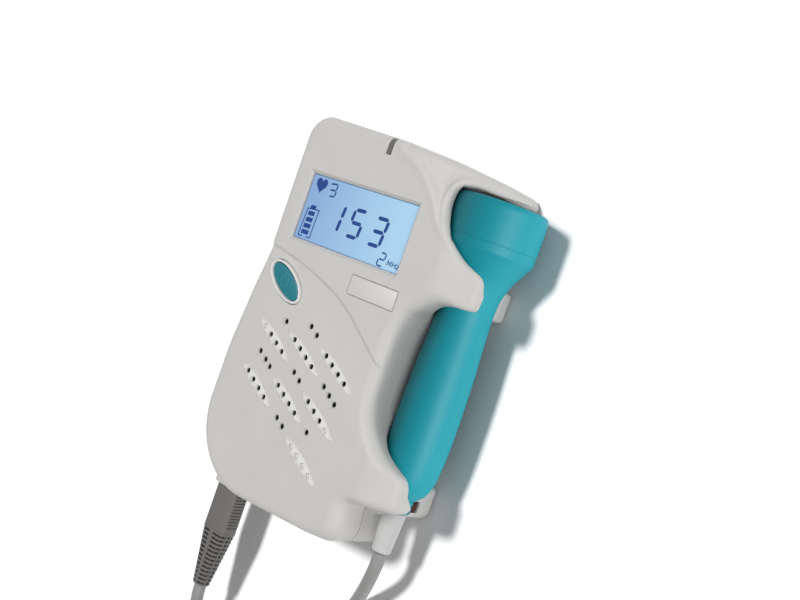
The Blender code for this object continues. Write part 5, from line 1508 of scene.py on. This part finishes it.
def build_plug():
    """The grip with ribs on its sides and the slotted strain relief."""
    low, high = span("plug_grip")
    rings = []
    for y, extra in ((high.y, -0.6), (high.y - 0.2, -0.25), (high.y - 0.6, 0.0)):
        rings.append(plug_ring(y, extra))
    for k in range(1, BODY_STEPS):
        y = high.y - 0.6 - (high.y - low.y - 1.2) * k / BODY_STEPS
        rings.append(plug_ring(y))
    for y, extra in ((low.y + 0.1, 0.0), (low.y, -0.1)):
        rings.append(plug_ring(y, extra))
    grip = loft(rings, "plug_body")
    cutters = []
    x, z = PLUG_CENTRE
    for side in (-1, 1):
        for k in range(RIB_COUNT):
            y = low.y + RIB_START + k * RIB_PITCH
            spot = x + side * (PLUG_HALF[0] + 0.35)
            cutters.append(
                soft_box((spot - 0.9, y - 0.3, z - 3.1), (spot + 0.9, y + 0.3, z + 3.1), 0.2, "rib", 2)
            )
    grip = cut(grip, [joined(cutters, "ribs")])
    piece("plug_body", grip, PLUG, "plug", ("plug_grip",))
    low, high = span("plug_relief")
    rings = [plug_ring(high.y + GAP)]
    for k in range(BODY_STEPS + 1):
        share = k / BODY_STEPS
        rings.append(plug_ring(high.y + (low.y - high.y) * share, 0.0, relief_half(share)))
    relief = loft(rings, "strain_relief")
    slots, notches = [], []
    for k in range(RELIEF_ROWS):
        share = (k + 0.7) / (RELIEF_ROWS + 0.3)
        y = high.y + (low.y - high.y) * share
        wide, tall, _ = relief_half(share)
        for side in (-1, 1):
            # On each broad face a short slot and a long one, with a spine between; the long
            # one goes on round the edge, and a notch follows it
            spans = (
                ((-0.66 * wide, -0.14 * wide), (tall - SLOT_DEPTH, tall + 1)),
                ((0.16 * wide, wide + 1), (tall - SLOT_DEPTH, tall + 1)),
            )
            for across, up in spans:
                slots.append(relief_cutter(across, up, y, side, x, z))
            edge = (wide - SLOT_DEPTH, wide + 1)
            notches.append(relief_cutter(edge, (0.32 * tall, tall + 1), y, side, x, z))
        notches.append(relief_cutter((wide - SLOT_DEPTH, wide + 1), (-0.16 * tall, 0.16 * tall),
                                     y, 1, x, z))
        notches.append(relief_cutter((-wide - 1, SLOT_DEPTH - wide), (-0.6 * tall, 0.6 * tall),
                                     y, 1, x, z))
    relief = cut(relief, [joined(slots, "slots"), joined(notches, "notches")])
    piece("strain_relief", relief, PLUG, "plug", ("plug_relief",))


COLLAR_REACH = 3.8


def relief_half(share):
    """The relief's half width, half height and corner at a share of its length."""
    return [start + (end - start) * share for start, end in zip(PLUG_HALF, RELIEF_TIP)]


def relief_cutter(across, up, y, side, x, z):
    """A slot's cutter. Across and up are its spans from the plug's axis, turned over by side."""
    heights = sorted(side * v for v in up)
    return box_mesh((x + across[0], y - SLOT_HALF, z + heights[0]),
                    (x + across[1], y + SLOT_HALF, z + heights[1]), "relief_slot")


def build_collar():
    low, high = span("socket_collar")
    end = low.y - COLLAR_REACH
    shape = ((0.0, end + 0.5), (0.15, end + 0.15), (0.5, end))
    rings = [plug_ring(high.y, COLLAR_GROW)]
    rings += [plug_ring(y, COLLAR_GROW - inwards) for inwards, y in shape]
    rings += [plug_ring(end + 0.5, GAP + 0.1), plug_ring(high.y, GAP)]
    data = loft(rings, "plug_port", closed=True)
    piece("plug_port", data, CASE, "unit", ("socket_collar",))


WHEEL_TEETH = 48
WHEEL_DENT = 0.45
WHEEL_BORE = 2.1


def build_wheel():
    """The thumb wheel, with fine ribs round its rim."""
    low, high = span("volume_wheel")
    centre = ((low.x + high.x) / 2, (low.y + high.y) / 2)
    radius = (high.x - low.x) / 2
    count = WHEEL_TEETH * 4
    rings = []
    for r, z in (
        (WHEEL_BORE, low.z), (radius - 1.0, low.z), (radius - 0.3, low.z + 0.25),
        (radius, low.z + 0.6), (radius, high.z - 0.6), (radius - 0.3, high.z - 0.25),
        (radius - 1.0, high.z), (WHEEL_BORE, high.z),
    ):
        ring = []
        for k in range(count):
            a = math.tau * k / count
            reach = r - (WHEEL_DENT if k % 4 in (2, 3) and r > radius - 0.5 else 0.0)
            ring.append((centre[0] + reach * math.cos(a), centre[1] + reach * math.sin(a), z))
        rings.append(ring)
    data = loft(rings, "thumb_wheel", closed=True)
    piece("thumb_wheel", data, DARK, "volume_wheel", ("volume_wheel",))


DOOR_RIB_COUNT = 7
DOOR_RIB_PITCH = 1.6


def build_door():
    """The battery door: a thin plate with a field of grip ribs near its end."""
    low, high = span("battery_door")
    plate = soft_box(low, high, 0.35, "cell_cover", 2)
    middle = (low.x + high.x) / 2
    cutters = []
    for k in range(DOOR_RIB_COUNT):
        y = low.y + 6 + k * DOOR_RIB_PITCH
        half = 8 - 0.55 * k
        cutters.append(
            soft_box((middle - half, y - 0.45, -0.5), (middle + half, y + 0.45, 0.55), 0.25, "rib", 2)
        )
    plate = cut(plate, [joined(cutters, "door_ribs")])
    piece("cell_cover", plate, CASE, "battery_door", ("battery_door",))


def build_bumper():
    low, high = span("dock_bumper")
    piece("rest_pad", soft_box(low, high, 0.5, "rest_pad"), MAROON, "unit", ("dock_bumper",))


def build_screws():
    for i, (x, y) in enumerate(SCREW_PLACES, 1):
        low, high = span(f"case_screw_{i}")
        path = [(0, low.z), (1.9, low.z), (2.35, low.z + 0.25), (2.5, low.z + 0.6),
                (2.5, low.z + 1.1), (1.4, low.z + 1.1), (1.4, high.z - 0.6), (0.9, high.z),
                (0, high.z)]
        data = turned(path, (x, y), "screw", "Z", 40)
        cross = [
            box_mesh((x - u, y - v, low.z - 1), (x + u, y + v, low.z + 0.7), "cross")
            for u, v in ((1.4, 0.28), (0.28, 1.4))
        ]
        data = cut(data, cross)
        piece(f"cross_screw_{i}", data, NICKEL, "unit", (f"case_screw_{i}",))


def build_jacks():
    for name, (radius, bore, pin) in JACKS.items():
        low, high = span(name)
        centre = ((low.x + high.x) / 2, 0, JACK_LEVEL)
        body = (high.x - low.x) / 2
        wall = high.y - WALL - radius * 0.1 - GAP
        path = [(0, low.y), (body, low.y), (body, wall), (radius, wall), (radius, high.y - 0.3),
                (radius - 0.3, high.y), (bore + 0.4, high.y), (bore, high.y - 0.4),
                (bore, low.y + 1.2)]
        if pin:
            path += [(pin, low.y + 1.2), (pin, high.y - 2.3), (pin * 0.5, high.y - 2.0),
                     (0, high.y - 2.0)]
        else:
            path.append((0, low.y + 1.2))
        data = turned(path, centre, name + "_port", "Y", 56)
        piece(name + "_port", data, BLACK, "unit", (name,))


def dress_frame():
    """CAD nodes that stay get finer materials."""
    skins = {
        "indicator_lens": LENS_GREY, "display_gasket": RUBBER, "lcd_panel": WHITE,
        "lcd_backlight": WHITE, "tact_switch": BLACK, "speaker_frame": STEEL,
        "speaker_cone": BLACK, "speaker_magnet": STEEL, "main_board": BOARD, "main_chip": BLACK,
        "sound_chip": BLACK, "doppler_board": BOARD, "doppler_chip": BLACK,
        "contact_strip_low": NICKEL, "contact_strip_high": NICKEL, "battery_tray": DARK,
        "battery_cell_1": CELL, "battery_cell_2": CELL, "battery_cell_3": CELL,
        "volume_control": BLACK, "plug_socket": NICKEL, "plug_barrel": NICKEL,
        "plug_insert": GOLD, "probe_backing": BLACK, "crystal_sender": CERAMIC,
        "crystal_receiver": CERAMIC, "probe_board": BOARD,
    }
    for name, skin in skins.items():
        for place in range(len(nodes[name].data.materials)):
            nodes[name].data.materials[place] = skin


# For each lamp: the direction to it, its level, its softness in degrees and what it lights
LAMPS = {
    "floor_light": ((-0.16, 0.22, 0.96), 0.9, 9, "ground"),
    "top_light": ((-0.2, 0.3, 0.93), 0.5, 24, "case_parts"),
    "right_light": ((0.8, -0.1, 0.6), 0.43, 30, "case_parts"),
    "probe_light": ((0.93, -0.1, 0.36), 1.05, 30, "probe_parts"),
    "probe_fill": ((-0.75, 0.3, 0.6), 0.16, 40, "probe_parts"),
}
WORLD_LEVEL = 0.28
FLOOR_HALF = 4000.0
FLOOR_LEVELS = (-6.0, -0.02)
FLOOR_SHARE = 0.03


def add_sun(name, direction, level, softness, lit):
    """A far lamp; at level 1 a white surface that faces it renders white."""
    data = bpy.data.lights.new(name, "SUN")
    data.energy = level * math.pi
    data.angle = math.radians(softness)
    obj = bpy.data.objects.new(name, data)
    bpy.context.scene.collection.objects.link(obj)
    obj.rotation_euler = Vector(direction).to_track_quat("Z", "Y").to_euler()
    obj.light_linking.receiver_collection = lit


def shown_white(name, colour, share):
    """A pale surface that camera, gloss and glass see part lit from within."""
    made = Nodes(name)
    grain = made.noise(9.0, 2.0)
    pale = made.mix(grain, shade(colour, 0.995), colour)
    made.join(pale, made.shader.inputs["Base Color"])
    made.shader.inputs["Roughness"].default_value = 0.9
    made.shader.inputs["Specular IOR Level"].default_value = 0.0
    glow = made.add("ShaderNodeEmission", {"Color": (1, 1, 1, 1), "Strength": 1.0})
    path = made.add("ShaderNodeLightPath")
    seen = path.outputs["Is Camera Ray"]
    for kind in ("Is Glossy Ray", "Is Transmission Ray"):
        both = made.add("ShaderNodeMath", operation="MAXIMUM")
        made.join(seen, both.inputs[0])
        made.join(path.outputs[kind], both.inputs[1])
        seen = both.outputs["Value"]
    scaled = made.add("ShaderNodeMath", {1: share}, operation="MULTIPLY")
    made.join(seen, scaled.inputs[0])
    blend = made.add("ShaderNodeMixShader")
    made.join(scaled.outputs["Value"], blend.inputs["Fac"])
    made.join(made.shader.outputs["BSDF"], blend.inputs[1])
    made.join(glow.outputs["Emission"], blend.inputs[2])
    made.join(blend.outputs["Shader"], made.output.inputs["Surface"])
    return made.material


def add_stage():
    low, high = FLOOR_LEVELS
    data = box_mesh((-FLOOR_HALF, -FLOOR_HALF, low), (FLOOR_HALF, FLOOR_HALF, high), "floor")
    floor = scratch("floor", data)
    data.materials.append(shown_white("floor_white", (0.97, 0.97, 0.97), FLOOR_SHARE))
    world = bpy.data.worlds.new("studio")
    bpy.context.scene.world = world
    world.use_nodes = True
    tree = world.node_tree
    back = tree.nodes["Background"]
    back.inputs["Color"].default_value = (1, 1, 1, 1)
    path = tree.nodes.new("ShaderNodeLightPath")
    strength = tree.nodes.new("ShaderNodeMapRange")
    strength.inputs["To Min"].default_value = WORLD_LEVEL
    strength.inputs["To Max"].default_value = 1.0
    tree.links.new(path.outputs["Is Camera Ray"], strength.inputs["Value"])
    tree.links.new(strength.outputs["Result"], back.inputs["Strength"])
    bpy.context.scene.view_settings.view_transform = "Standard"
    return floor


def add_lamps(floor):
    """Soft lamps. The floor, the case and the probe each have their own."""
    lit = {name: bpy.data.collections.new(name) for name in ("ground", "case_parts", "probe_parts")}
    lit["ground"].objects.link(floor)
    for obj in bpy.context.scene.objects:
        if obj.type == "MESH" and obj is not floor:
            teal = any(slot.material is TEAL for slot in obj.material_slots)
            lit["probe_parts" if teal else "case_parts"].objects.link(obj)
    for name, (direction, level, softness, parts) in LAMPS.items():
        add_sun(name, direction, level, softness, lit[parts])


add_camera()
floor = add_stage()
build_cords()
channel = channel_table()
build_front(channel)
build_rear(channel)
build_display()
build_button()
build_plate()
build_probe()
build_plug()
build_collar()
build_wheel()
build_door()
build_bumper()
build_screws()
build_jacks()
dress_frame()
add_lamps(floor)
